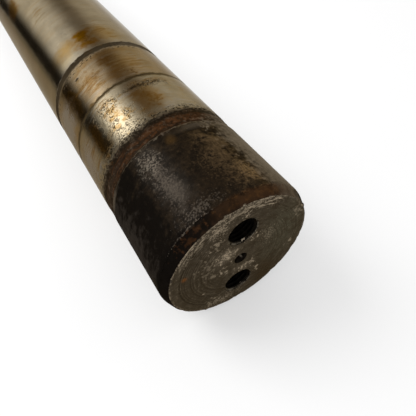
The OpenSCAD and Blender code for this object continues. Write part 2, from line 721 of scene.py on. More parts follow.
@dataclass
class EndFace:
    """Turned end face with shallow tool rings, pierced by its holes."""

    sizes: PinSizes
    rim_radius: float
    rim_segments: int
    ring_step: float = 0.55
    point_step: float = 1.5
    clearance: float = 0.45
    least_points: int = 6
    nearest: float = 1e-6
    tool_pitch: float = 2.2
    tool_depth: float = 0.012

    def circle(self, radius: float, segments: int, height: float = 0.0) -> np.ndarray:
        """Points of a circle in the face, as (x, height above the axis)."""
        angles = np.arange(segments) * math.tau / segments
        return np.column_stack((radius * np.cos(angles), height + radius * np.sin(angles)))

    def openings(self, end: End, tapped: TappedHole, centre: CentreHole) -> list[Opening]:
        """Holes of an end as (height above the axis, mouth radius, segments).

        Args:
            end: the end.
            tapped: the tapped holes' maker.
            centre: the centre holes' maker.

        Returns:
            The holes, from the top down, and the centre hole last.
        """
        sizes = self.sizes
        holes = [(height, sizes.mouth_radius, tapped.segments) for height in sizes.hole_heights(end)]
        return [*holes, (0.0, sizes.centre_mouth, centre.segments)]

    def inner_points(self, holes: list[Opening]) -> np.ndarray:
        """Points on rings about the axis, clear of the rim and of the holes.

        Args:
            holes: the holes as openings() gives them.

        Returns:
            The points as (x, height above the axis).
        """
        rings = []
        for radius in np.arange(self.ring_step, self.rim_radius - self.clearance, self.ring_step):
            count = max(self.least_points, round(math.tau * radius / self.point_step))
            rings.append(self.circle(radius, count))
        points = np.vstack(rings)
        for height, radius, _ in holes:
            points = points[np.hypot(points[:, 0], points[:, 1] - height) > radius + self.clearance]
        return points

    def build(self, name: str, end: End, holes: list[Opening],
              finish: bpy.types.Material) -> bpy.types.Mesh:
        """Fills the face between its rim and its holes.

        Args:
            name: the face's name.
            end: the end that it closes.
            holes: the holes as openings() gives them.
            finish: its material.

        Returns:
            The face as a mesh.
        """
        loops = [self.circle(self.rim_radius, self.rim_segments)]
        loops += [self.circle(radius, segments, height) for height, radius, segments in holes]
        edges: list[tuple[int, int]] = []
        start = 0
        for loop in loops:
            count = len(loop)
            edges += [(start + i, start + (i + 1) % count) for i in range(count)]
            start += count
        points = np.vstack([*loops, self.inner_points(holes)])
        corners = [Vector(point) for point in points]
        flat, _, faces, *_ = delaunay_2d_cdt(corners, edges, [], FILL_ALL, self.nearest)
        flat = np.array([tuple(point) for point in flat])
        kept = [face for face in faces if not self.in_hole(flat[list(face)].mean(axis=0), holes)]
        depth = self.tool_relief(flat, start)
        along = self.sizes.face_y(end) + end.value * depth * MM
        mesh = bpy.data.meshes.new(name)
        places = np.column_stack((flat[:, 0] * MM, along, (flat[:, 1] + self.sizes.radius) * MM))
        mesh.from_pydata(places.tolist(), [], kept)
        mesh.materials.append(finish)
        return mesh

    def in_hole(self, point: np.ndarray, holes: list[Opening]) -> bool:
        """Says whether a point of the face lies in one of its holes."""
        return any(np.hypot(point[0], point[1] - height) < radius for height, radius, _ in holes)

    def tool_relief(self, flat: np.ndarray, fixed: int) -> np.ndarray:
        """Depth of the tool rings below the face.

        Args:
            flat: the face's points; the first ones lie on the rim and the holes.
            fixed: how many of the first points stay on the face.

        Returns:
            A depth for each point.
        """
        turns = np.hypot(flat[:, 0], flat[:, 1]) / self.tool_pitch
        depth = self.tool_depth * (1 - np.cos(turns * math.tau)) / 2
        depth[:fixed] = 0
        return depth


@dataclass(frozen=True)
class Layer:
    """One look of a surface: its colour, its share of bare metal and its roughness."""

    colour: Colour
    metallic: float
    roughness: float


class Grain(Enum):
    """What breaks up a surface; the value is its marks' size round the axis and across that, in mm."""

    FINE = (0.9, 0.9)
    MIDDLE = (2.0, 2.0)
    COARSE = (4.5, 4.5)
    STREAK = (22.0, 1.7)
    DASH = (1.5, 1.1)
    TURNED = (4.0, 1.2)


class Edge(Enum):
    """How a patch ends.

    The value holds the shares of its half size where it starts to fade and where it is gone. For a patch
    of flakes it also holds how soft their edges are and the least that they cover.
    """

    CLEAR = (0.65, 1.15, 0.08, 0.35)
    FADED = (0.35, 1.25, 0.14, 0.5)
    SOFT = (0.1, 1.4, 0.26, 0.8)


@dataclass(frozen=True)
class Stretch:
    """A stretch of the journal between two marks, the same at both ends of the pin.

    It starts and stops some millimetres past its marks, and each of its edges has its own softness.
    """

    start: Mark
    past_start: float
    stop: Mark
    past_stop: float
    soft_start: float
    soft_stop: float

    def span(self, sizes: PinSizes) -> Range:
        """Places where it starts and stops, from the end face."""
        return sizes.mark(self.start) + self.past_start, sizes.mark(self.stop) + self.past_stop


@dataclass(frozen=True)
class Band(Stretch):
    """A stretch with one look and the depth of its corroded relief."""

    layer: Layer
    relief: float


@dataclass(frozen=True)
class Patch:
    """A patch of wear or dirt about one place of a surface.

    On the journal the place is in millimetres from the end face and degrees from the top, to the right.
    On the end face it is in millimetres right of the axis and above it.
    """

    across: float
    up: float
    half_across: float
    half_up: float
    layer: Layer
    strength: float = 1.0
    grain: Grain | None = None
    edge: Edge = Edge.CLEAR


@dataclass(frozen=True)
class Flecks:
    """Specks of one look that a grain scatters.

    They start at one level of its noise and are full at another.
    """

    grain: Grain
    start: float
    full: float
    layer: Layer
    strength: float


GROUND_STEEL = Layer((0.226, 0.193, 0.141), 1.0, 0.17)
# Bright steel streaks, and the colour of the painted highlights on the journal
BRIGHT_STEEL_AND_HIGHLIGHT = Layer((0.31, 0.257, 0.168), 1.0, 0.16)
WORN_STEEL = Layer((0.228, 0.188, 0.124), 1.0, 0.19)
GOLD_STEEL = Layer((0.204, 0.152, 0.092), 1.0, 0.19)
BEIGE_STEEL = Layer((0.245, 0.220, 0.190), 0.9, 0.3)
# Black scale, and the painted shade on the left side of the seat and the lead-in
BLACK_SCALE_AND_SHADE = Layer((0.0042, 0.0034, 0.0027), 0.05, 0.4)
DARK_SCALE = Layer((0.0207, 0.0144, 0.0092), 0.7, 0.38)
GREY_SCALE = Layer((0.0175, 0.0152, 0.0129), 0.9, 0.32)
SCRATCHED_SCALE = Layer((0.135, 0.112, 0.085), 0.95, 0.34)
# Bright scuffs, and the colour of the painted sheen in the seat's highlight
SCUFF_AND_SHEEN = Layer((0.0764, 0.0616, 0.0469), 0.95, 0.36)
PALE_EDGE = Layer((0.13, 0.106, 0.080), 0.9, 0.38)
NECK_RUST = Layer((0.0215, 0.0113, 0.0062), 0.3, 0.5)
RED_RUST = Layer((0.0572, 0.0237, 0.0088), 0.1, 0.6)
LEAD_RUST = Layer((0.024, 0.0135, 0.0075), 0.25, 0.5)
ORANGE_RUST = Layer((0.15, 0.055, 0.013), 0.05, 0.65)
LEAD_ORANGE = Layer((0.050, 0.0235, 0.009), 0.2, 0.55)
# Brown stains, and the colour of the painted dark reflected stripe on the bands
BROWN_STAIN_AND_DARK_REFLECTION = Layer((0.150, 0.080, 0.023), 0.95, 0.22)
DARK_STAIN = Layer((0.085, 0.038, 0.008), 0.9, 0.25)
GOLD_TINT = Layer((0.226, 0.146, 0.059), 1.0, 0.18)
AMBER_STAIN = Layer((0.160, 0.070, 0.004), 0.95, 0.2)
GOLD_DUST = Layer((0.115, 0.0745, 0.0377), 0.6, 0.45)
# Grey dust, and the colour of the painted sheen on the seat's grazing right side
GREY_DUST_AND_SHEEN = Layer((0.135, 0.108, 0.076), 0.6, 0.45)
SCORE_DIRT = Layer((0.064, 0.046, 0.024), 0.9, 0.3)
GROOVE_DIRT = Layer((0.031, 0.0225, 0.0130), 0.15, 0.5)
PIT_BLACK = Layer((0.010, 0.007, 0.0045), 0.4, 0.45)
FACE_STEEL = Layer((0.046, 0.037, 0.0270), 0.7, 0.42)
FACE_DARK = Layer((0.034, 0.026, 0.018), 0.6, 0.42)
FACE_SCUFF = Layer((0.34, 0.275, 0.195), 0.6, 0.45)
FACE_GREEN = Layer((0.058, 0.053, 0.038), 0.7, 0.4)
FACE_BROWN = Layer((0.034, 0.022, 0.012), 0.5, 0.45)
BORE_OIL = Layer((0.004, 0.0033, 0.0025), 0.5, 0.35)
# Worn bright lips of the holes, and the colour of the painted glint in the centre hole
WORN_LIP_AND_GLINT = Layer((0.16, 0.135, 0.10), 0.9, 0.3)
# Colour of the painted glints on the tapped holes' lips
BORE_GLINT = Layer((0.45, 0.38, 0.29), 0.9, 0.25)
NECK_GREY = Layer((0.046, 0.028, 0.0185), 0.3, 0.5)
RING_DARK = Layer((0.019, 0.0145, 0.0098), 0.5, 0.45)
# Painted amber tint along the dark reflected stripe on the bands
REFLECTED_STRIPE_TINT = Layer((0.215, 0.103, 0.013), 1.0, 0.16)
GOLD_SPECK = Layer((0.20, 0.124, 0.053), 0.8, 0.4)
SEAT_GREY = Layer((0.021, 0.0172, 0.014), 0.1, 0.5)
NECK_HAZE = Layer((0.050, 0.037, 0.025), 0.6, 0.4)

LEAD = Stretch(Mark.FACE, -1.0, Mark.LEAD_END, -0.4, 0.8, 0.8)
SEAT = Stretch(Mark.LEAD_END, 0.0, Mark.SEAT_END, -0.6, 1.0, 1.0)
NECK = Stretch(Mark.SEAT_END, 1.4, Mark.NECK_END, -1.6, 1.6, 1.6)
BEARING = Stretch(Mark.NECK_END, 0.0, Mark.GROOVE_START, 0.0, 1.0, 1.0)
PITTED = Stretch(Mark.NECK_END, -3.0, Mark.GROOVE, -1.0, 1.5, 1.5)
GROOVE_SIDE = Stretch(Mark.GROOVE_START, -3.0, Mark.GROOVE, -3.0, 2.0, 2.0)
STEEL_BANDS = (
    Band(Mark.SEAT_END, 0.0, Mark.SCORE, 0.0, 1.0, 0.3, WORN_STEEL, 0.02),
    Band(Mark.SCORE, 0.0, Mark.GROOVE, -2.0, 0.3, 2.0, GOLD_STEEL, 0.015),
)
DIRT_BANDS = (
    Band(Mark.SCORE, -0.7, Mark.SCORE, 0.6, 1.8, 1.4, SCORE_DIRT, 0.03),
    Band(Mark.GROOVE, -3.4, Mark.GROOVE, 0.2, 3.4, 0.7, GROOVE_DIRT, 0.05),
    Band(Mark.NECK_END, -5.0, Mark.NECK_END, -2.0, 1.5, 5.0, NECK_HAZE, 0.08),
    Band(Mark.SEAT_END, 1.0, Mark.NECK_END, -3.2, 1.2, 2.6, NECK_RUST, 0.14),
    Band(Mark.FACE, 0.0, Mark.SEAT_END, -0.2, 0.5, 0.8, DARK_SCALE, 0.05),
    Band(Mark.FACE, 0.0, Mark.LEAD_END, -0.3, 0.5, 0.8, LEAD_RUST, 0.10),
)
END_PATCHES = (
    # Painted shade: the seat's left side laid near black, along with its black scale
    Patch(28, -70, 42, 34, BLACK_SCALE_AND_SHADE, 0.95),
    Patch(30, -90, 40, 14, SEAT_GREY, 0.7, edge=Edge.SOFT),
    Patch(30, -80, 40, 24, SEAT_GREY, 0.8, Grain.COARSE, Edge.SOFT),
    Patch(30, -84, 40, 16, SEAT_GREY, 0.7, Grain.STREAK, Edge.SOFT),
    Patch(32, -30, 30, 12, GREY_SCALE, 0.8, edge=Edge.SOFT),
    Patch(30, -30, 28, 11, SCUFF_AND_SHEEN, 0.2, Grain.COARSE, Edge.SOFT),
    Patch(33, -31, 22, 9, SCUFF_AND_SHEEN, 0.6, Grain.DASH),
    Patch(28, -31, 28, 11, SCUFF_AND_SHEEN, 0.4, Grain.MIDDLE),
    Patch(30, -31, 26, 10, SCUFF_AND_SHEEN, 0.6, Grain.FINE),
    Patch(44, -33, 8, 9, SCRATCHED_SCALE, 0.62, Grain.DASH),
    Patch(44, -33, 9, 10, SCRATCHED_SCALE, 0.45, Grain.FINE),
    # Painted sheen: a smooth lighter spot in the seat's highlight
    Patch(22, -28, 7, 6, SCUFF_AND_SHEEN, 0.38, edge=Edge.SOFT),
    Patch(9, -22, 5, 22, SCUFF_AND_SHEEN, 0.7, Grain.FINE),
    Patch(22, 12, 26, 15, GOLD_DUST, 0.42, Grain.MIDDLE, Edge.SOFT),
    Patch(24, 6, 24, 18, GOLD_DUST, 0.28, Grain.FINE),
    Patch(14, 17, 9, 10, GOLD_DUST, 0.7, Grain.MIDDLE, Edge.FADED),
    Patch(14, 17, 8, 8, GOLD_DUST, 0.25, edge=Edge.SOFT),
    Patch(15, 16, 9, 9, GOLD_SPECK, 0.4, Grain.FINE),
    Patch(40, 12, 14, 14, GOLD_DUST, 0.5, Grain.COARSE, Edge.SOFT),
    # Partly grey dust, partly painted sheen on the seat's right side, which is seen at a grazing angle
    Patch(30, 43, 44, 18, GREY_DUST_AND_SHEEN, 1.0, edge=Edge.SOFT),
    Patch(28, 29, 30, 12, GREY_DUST_AND_SHEEN, 0.8, Grain.MIDDLE, Edge.SOFT),
    Patch(49.5, 17, 4, 8, GREY_DUST_AND_SHEEN, 1.0, Grain.MIDDLE, Edge.FADED),
    Patch(52, 16, 3, 22, GREY_DUST_AND_SHEEN, 0.35, edge=Edge.SOFT),
    Patch(48.5, -11, 3.5, 4, BROWN_STAIN_AND_DARK_REFLECTION, 0.25, edge=Edge.SOFT),
    Patch(54.2, -19, 1.4, 24, PALE_EDGE, 0.75, Grain.MIDDLE),
    Patch(53.6, 24, 2.6, 34, PALE_EDGE, 0.7, Grain.MIDDLE, Edge.FADED),
    Patch(57.5, 16, 1.6, 28, GREY_DUST_AND_SHEEN, 0.7, Grain.MIDDLE, Edge.FADED),
    Patch(53.8, -74, 1.8, 12, PALE_EDGE, 0.5, edge=Edge.SOFT),
    # Painted shade: the lead-in's left side laid near black, along with its black scale
    Patch(2.5, -70, 4.5, 60, BLACK_SCALE_AND_SHADE, 0.9),
    Patch(5.4, -38, 0.6, 20, PALE_EDGE, 0.55, Grain.FINE, Edge.FADED),
    Patch(2.5, 12, 3.0, 30, LEAD_ORANGE, 0.45, edge=Edge.SOFT),
    Patch(2.5, 12, 3.4, 34, LEAD_ORANGE, 0.9, Grain.MIDDLE, Edge.FADED),
    Patch(2.5, -40, 3, 16, RED_RUST, 0.4, Grain.MIDDLE, Edge.FADED),
    Patch(60, -74, 5, 26, NECK_GREY, 0.7, edge=Edge.SOFT),
    Patch(60, 4, 5, 28, RED_RUST, 0.62, edge=Edge.SOFT),
    Patch(60, 44, 8, 16, GREY_DUST_AND_SHEEN, 0.7, edge=Edge.SOFT),
    # Painted reflection: the dark stripe along the first band, tinted brown and amber
    Patch(84, -52, 15, 5, BROWN_STAIN_AND_DARK_REFLECTION, 0.9),
    Patch(84, -53, 17, 7, REFLECTED_STRIPE_TINT, 0.42, edge=Edge.FADED),
    Patch(76, -47, 6, 5, GOLD_TINT, 0.8),
    Patch(87, -76, 13, 18, BEIGE_STEEL, 0.9, edge=Edge.SOFT),
    Patch(86, -64, 14, 9, BROWN_STAIN_AND_DARK_REFLECTION, 0.8, Grain.STREAK, Edge.FADED),
    # Painted highlight: lighter steel where the bright reflection falls on the first band
    Patch(82, -28, 15, 15, BRIGHT_STEEL_AND_HIGHLIGHT, 0.85, edge=Edge.SOFT),
    Patch(86, -32, 16, 19, GOLD_TINT, 1.0, Grain.COARSE, Edge.FADED),
    Patch(89, -33, 17, 18, BROWN_STAIN_AND_DARK_REFLECTION, 0.5, Grain.MIDDLE, Edge.FADED),
    # Painted highlight: lighter steel beside the dark reflected stripe
    Patch(86, -42, 13, 4.5, BRIGHT_STEEL_AND_HIGHLIGHT, 0.8, edge=Edge.SOFT),
    Patch(85, -2, 13, 11, GOLD_TINT, 0.9, edge=Edge.SOFT),
    Patch(83, -2, 11, 9, BROWN_STAIN_AND_DARK_REFLECTION, 0.9, Grain.COARSE, Edge.FADED),
    Patch(82, 0, 11, 6, AMBER_STAIN, 0.7, Grain.MIDDLE),
    Patch(82, 2, 9, 6, BROWN_STAIN_AND_DARK_REFLECTION, 0.7, Grain.MIDDLE),
    Patch(82, -9, 12, 4, BROWN_STAIN_AND_DARK_REFLECTION, 0.6, edge=Edge.SOFT),
    Patch(95, -8, 7, 7, DARK_STAIN, 0.5, edge=Edge.SOFT),
    Patch(93, -9, 10, 10, BROWN_STAIN_AND_DARK_REFLECTION, 0.7, Grain.STREAK, Edge.FADED),
    Patch(96, 3, 5, 18, BROWN_STAIN_AND_DARK_REFLECTION, 0.7, Grain.STREAK, Edge.FADED),
    Patch(98, -34, 6, 14, BROWN_STAIN_AND_DARK_REFLECTION, 0.7, Grain.STREAK, Edge.FADED),
    Patch(96, 4, 3.0, 24, PIT_BLACK, 0.9, Grain.DASH),
    Patch(95.5, -6, 2.6, 12, PIT_BLACK, 0.9, Grain.MIDDLE),
    # Painted reflection: the dark stripe along the second band, tinted brown and amber
    Patch(124, -51, 14, 5, BROWN_STAIN_AND_DARK_REFLECTION, 0.8),
    Patch(124, -54, 18, 8, REFLECTED_STRIPE_TINT, 0.7, edge=Edge.FADED),
    Patch(123, -76, 16, 22, BEIGE_STEEL, 1.0, edge=Edge.FADED),
    Patch(123.5, -42, 2.2, 30, BROWN_STAIN_AND_DARK_REFLECTION, 0.6, edge=Edge.SOFT),
    Patch(123.5, -30, 0.5, 24, PIT_BLACK, 0.7, Grain.FINE, Edge.FADED),
    Patch(123, -2, 14, 13, GOLD_TINT, 0.8, edge=Edge.SOFT),
    Patch(131, -10, 9, 7, DARK_STAIN, 0.7, edge=Edge.SOFT),
    Patch(131, -6, 9, 14, DARK_STAIN, 0.8, Grain.STREAK, Edge.FADED),
    Patch(116, -10, 10, 7, DARK_STAIN, 0.6, edge=Edge.SOFT),
    Patch(116, -7, 11, 14, BROWN_STAIN_AND_DARK_REFLECTION, 0.8, Grain.STREAK, Edge.FADED),
    Patch(122, -32, 17, 16, BROWN_STAIN_AND_DARK_REFLECTION, 0.8, Grain.STREAK, Edge.FADED),
    Patch(124, -30, 15, 16, DARK_STAIN, 0.5, Grain.COARSE, Edge.FADED),
    Patch(122, 10, 16, 13, BROWN_STAIN_AND_DARK_REFLECTION, 0.7, Grain.STREAK, Edge.FADED),
    Patch(111, 2, 5, 7, DARK_STAIN, 0.9, Grain.MIDDLE),
    Patch(133, -38, 1.2, 2.0, PIT_BLACK, 0.8),
    Patch(139, -10, 3, 28, BROWN_STAIN_AND_DARK_REFLECTION, 0.6, edge=Edge.SOFT),
    Patch(146, 34, 4, 26, GREY_DUST_AND_SHEEN, 0.4, edge=Edge.SOFT),
)
SHAFT_PATCHES = (
    # Painted highlight: lighter steel beside the dark reflected stripe, by the groove
    Patch(153.5, -39, 4.6, 12, BRIGHT_STEEL_AND_HIGHLIGHT, 1.0, edge=Edge.SOFT),
    Patch(164, -33, 9, 19, GOLD_TINT, 0.9, edge=Edge.SOFT),
    Patch(164, 4, 14, 18, GOLD_TINT, 0.8, edge=Edge.SOFT),
    Patch(170, 8, 14, 18, BROWN_STAIN_AND_DARK_REFLECTION, 0.8, Grain.STREAK, Edge.FADED),
    Patch(163, -12, 13, 13, AMBER_STAIN, 0.5, edge=Edge.SOFT),
    Patch(156, -11, 5.5, 11, AMBER_STAIN, 0.9, edge=Edge.FADED),
    Patch(163, -13, 8, 6, AMBER_STAIN, 0.8, edge=Edge.FADED),
    Patch(169.5, -11, 5, 10, AMBER_STAIN, 0.95, edge=Edge.FADED),
    Patch(163, -10, 11, 10, DARK_STAIN, 0.8, Grain.MIDDLE, Edge.FADED),
    Patch(226, -32, 10, 12, BROWN_STAIN_AND_DARK_REFLECTION, 0.6, Grain.STREAK, Edge.FADED),
    Patch(269, -54, 13, 12, AMBER_STAIN, 1.0, edge=Edge.FADED),
    Patch(271, -54, 11, 10, DARK_STAIN, 0.9, edge=Edge.FADED),
    Patch(335, 48, 9, 20, GOLD_TINT, 0.8, edge=Edge.SOFT),
    Patch(340, 58, 5, 9, AMBER_STAIN, 0.9, edge=Edge.SOFT),
    Patch(300, 96, 14, 20, BROWN_STAIN_AND_DARK_REFLECTION, 0.5, Grain.STREAK, Edge.FADED),
)
CURL_CHAIN = Patch(96, 3, 2.6, 24, PIT_BLACK, edge=Edge.FADED)
ETCHED_PATCHES = (
    Patch(96, 3, 4.5, 24, PIT_BLACK),
    Patch(81, -38, 11, 9, PIT_BLACK),
    Patch(94, -34, 8, 13, PIT_BLACK),
    Patch(78, -20, 9, 9, PIT_BLACK),
    Patch(180, -22, 4, 7, PIT_BLACK, 0.4),
)
FACE_TONES = (
    Patch(24, 6, 13, 22, FACE_GREEN, 0.9, edge=Edge.SOFT),
    Patch(16, -25, 9, 12, FACE_BROWN, 1.0, edge=Edge.SOFT),
    Patch(-26, -8, 12, 26, FACE_DARK, 0.6, edge=Edge.SOFT),
)
FACE_PATCHES = (
    Patch(-13, 30, 6, 4, FACE_SCUFF, 0.6, Grain.TURNED),
    Patch(-12, 28, 9, 6, FACE_SCUFF, 0.5, Grain.FINE),
    Patch(3, 34.5, 12, 3, FACE_SCUFF, 0.6, Grain.MIDDLE),
    Patch(13, 31, 8, 4, FACE_SCUFF, 0.8, Grain.TURNED),
    Patch(31, 17, 5, 9, FACE_SCUFF, 0.4, Grain.MIDDLE),
    Patch(1, 30.5, 3, 4, FACE_SCUFF, 0.9, Grain.FINE),
    Patch(-13, 20, 7, 8, FACE_SCUFF, 0.6, Grain.MIDDLE),
    Patch(-8, 8, 8, 6, FACE_SCUFF, 0.12, edge=Edge.SOFT),
    Patch(-8, 8, 9, 7, FACE_SCUFF, 0.9, Grain.MIDDLE),
    Patch(-7, 8, 9, 7, FACE_SCUFF, 0.6, Grain.FINE),
    Patch(7, 12, 5, 6, FACE_SCUFF, 0.9, Grain.MIDDLE),
    Patch(-9, -4, 6, 7, FACE_SCUFF, 0.9, Grain.MIDDLE),
    Patch(-15, -3.5, 1.8, 1.5, FACE_SCUFF, 0.35, edge=Edge.FADED),
    Patch(2, -8.5, 10, 4, FACE_SCUFF, 0.08, edge=Edge.SOFT),
    Patch(3, -8.5, 12, 5, FACE_SCUFF, 0.9, Grain.MIDDLE),
    Patch(10.5, -18, 2.5, 6, FACE_SCUFF, 0.9, Grain.MIDDLE),
    Patch(30, -8, 4, 4, FACE_SCUFF, 0.6, Grain.MIDDLE),
    Patch(-20, -15, 2.5, 3, FACE_SCUFF, 0.8, Grain.MIDDLE),
    Patch(-23, 24, 2.4, 2.4, FACE_SCUFF, 0.8, Grain.MIDDLE),
    Patch(-10, -32, 20, 6, FACE_DARK, 0.35, edge=Edge.SOFT),
    Patch(-10, -31, 20, 7, FACE_SCUFF, 0.5, Grain.FINE),
    Patch(-14, -28, 11, 7, FACE_SCUFF, 0.5, Grain.MIDDLE),
    Patch(-18, 6, 9, 16, FACE_SCUFF, 0.3, Grain.MIDDLE),
    Patch(15, 8, 8, 12, FACE_SCUFF, 0.3, Grain.FINE),
    Patch(-29.5, 6.5, 1.8, 1.8, ORANGE_RUST, 0.7, edge=Edge.SOFT),
)
# Painted glint on the lower wall of the centre hole's cone
CENTRE_GLINT = Patch(1.5, -1.7, 0.5, 0.6, WORN_LIP_AND_GLINT, 0.5, edge=Edge.SOFT)
# Painted glints on the lower lips of the tapped holes
LIP_GLINTS = (
    Patch(1.2, 12.8, 2.2, 0.8, BORE_GLINT, 0.7, Grain.FINE, Edge.FADED),
    Patch(2.8, -26.4, 1.2, 1.0, BORE_GLINT, 0.3, Grain.FINE),
)
SEAT_FLECKS = (
    Flecks(Grain.COARSE, 0.52, 0.4, BLACK_SCALE_AND_SHADE, 0.55),
    Flecks(Grain.MIDDLE, 0.5, 0.38, BLACK_SCALE_AND_SHADE, 0.5),
    Flecks(Grain.MIDDLE, 0.56, 0.7, GOLD_DUST, 0.15),
)
NECK_FLECKS = (
    Flecks(Grain.STREAK, 0.5, 0.6, RED_RUST, 0.5),
    Flecks(Grain.COARSE, 0.5, 0.4, PIT_BLACK, 0.55),
    Flecks(Grain.STREAK, 0.5, 0.4, PIT_BLACK, 0.6),
    Flecks(Grain.MIDDLE, 0.46, 0.38, PIT_BLACK, 0.7),
    Flecks(Grain.MIDDLE, 0.57, 0.64, GREY_DUST_AND_SHEEN, 0.2),
    Flecks(Grain.FINE, 0.58, 0.66, GREY_DUST_AND_SHEEN, 0.3),
)
LEAD_FLECKS = (
    Flecks(Grain.COARSE, 0.5, 0.38, PIT_BLACK, 0.8),
    Flecks(Grain.MIDDLE, 0.6, 0.7, LEAD_ORANGE, 0.3),
)
BEARING_FLECKS = (
    Flecks(Grain.STREAK, 0.5, 0.7, BROWN_STAIN_AND_DARK_REFLECTION, 0.3),
    Flecks(Grain.STREAK, 0.46, 0.3, BEIGE_STEEL, 0.5),
    Flecks(Grain.COARSE, 0.52, 0.7, GOLD_TINT, 0.5),
    Flecks(Grain.FINE, 0.3, 0.24, PIT_BLACK, 0.6),
)
JOURNAL_FLECKS = (
    Flecks(Grain.STREAK, 0.5, 0.7, GOLD_TINT, 0.35),
    Flecks(Grain.STREAK, 0.44, 0.32, BRIGHT_STEEL_AND_HIGHLIGHT, 0.3),
    Flecks(Grain.FINE, 0.3, 0.22, DARK_STAIN, 0.6),
)
FACE_FLECKS = (
    Flecks(Grain.TURNED, 0.54, 0.7, FACE_SCUFF, 0.1),
    Flecks(Grain.TURNED, 0.46, 0.34, FACE_DARK, 0.5),
    Flecks(Grain.COARSE, 0.5, 0.36, FACE_DARK, 0.7),
    Flecks(Grain.FINE, 0.58, 0.7, FACE_SCUFF, 0.2),
    Flecks(Grain.FINE, 0.44, 0.32, FACE_DARK, 0.5),
    Flecks(Grain.MIDDLE, 0.36, 0.28, PIT_BLACK, 0.5),
)
RUST_HEIGHTS = {Grain.COARSE: 0.34, Grain.MIDDLE: 0.22, Grain.FINE: 0.06}
FACE_HEIGHTS = {Grain.COARSE: 0.25, Grain.MIDDLE: 0.16}
BORE_HEIGHTS = {Grain.MIDDLE: 0.05}


@dataclass
class Coat:
    """Layers of one finish, each laid over the ones before."""

    name: str
    base: Layer
    gloss: float = 0.0
    edge_tint: Colour = (0.60, 0.54, 0.45)

    def __post_init__(self) -> None:
        """Starts the material with its lowest layer."""
        self.material = blank_material(self.name)
        self.wiring = Wiring(self.material.node_tree)
        self.colour: Any = self.base.colour
        self.metallic: Number = self.base.metallic
        self.roughness: Number = self.base.roughness
        self.height: Number = 0.0

    def lay(self, share: Number, layer: Layer) -> None:
        """Lays one look over the coat.

        Args:
            share: how much of it shows, from 0 to 1.
            layer: the look.
        """
        self.colour = self.wiring.mix(share, self.colour, layer.colour)
        self.metallic = self.wiring.blend(share, self.metallic, layer.metallic)
        self.roughness = self.wiring.blend(share, self.roughness, layer.roughness)

    def scatter(self, flecks: Iterable[Flecks], place: "Place", area: Number) -> None:
        """Scatters specks over an area.

        Args:
            flecks: the kinds of specks.
            place: where the point lies.
            area: where they may show, from 0 to 1.
        """
        for kind in flecks:
            shown = self.wiring.ramp(place.flakes(kind.grain), kind.start, kind.full)
            self.lay(shown * area * kind.strength, kind.layer)

    def shade(self, factor: Field) -> None:
        """Multiplies the colour by a factor."""
        self.colour = self.wiring.scaled(self.colour, factor)

    def roughen(self, place: "Place", heights: dict[Grain, float], area: Number = 1.0) -> None:
        """Raises the marks of some grains.

        Args:
            place: where the point lies.
            heights: the height of each grain's marks.
            area: where they may show, from 0 to 1.
        """
        for grain, height in heights.items():
            self.raise_by(place.flakes(grain) * area, height)

    def raise_by(self, share: Field, height: float) -> None:
        """Raises the surface where the share is high; a height below zero digs in."""
        self.height = share * height + self.height

    def close(self) -> bpy.types.Material:
        """Wires the layers to the shader and returns the material.

        Returns:
            The finished material.
        """
        wiring = self.wiring
        bump = wiring.field("ShaderNodeBump", 0, {"Strength": 1.0, "Distance": MM, "Height": self.height})
        shader = wiring.field("ShaderNodeBsdfPrincipled", 0, {
            "Base Color": rgba(self.colour),
            "Metallic": self.metallic,
            "Roughness": self.roughness,
            "Normal": bump,
            "Specular IOR Level": self.gloss,
            "Specular Tint": rgba(self.edge_tint),
        })
        wiring.node("ShaderNodeOutputMaterial", {"Surface": shader})
        return self.material


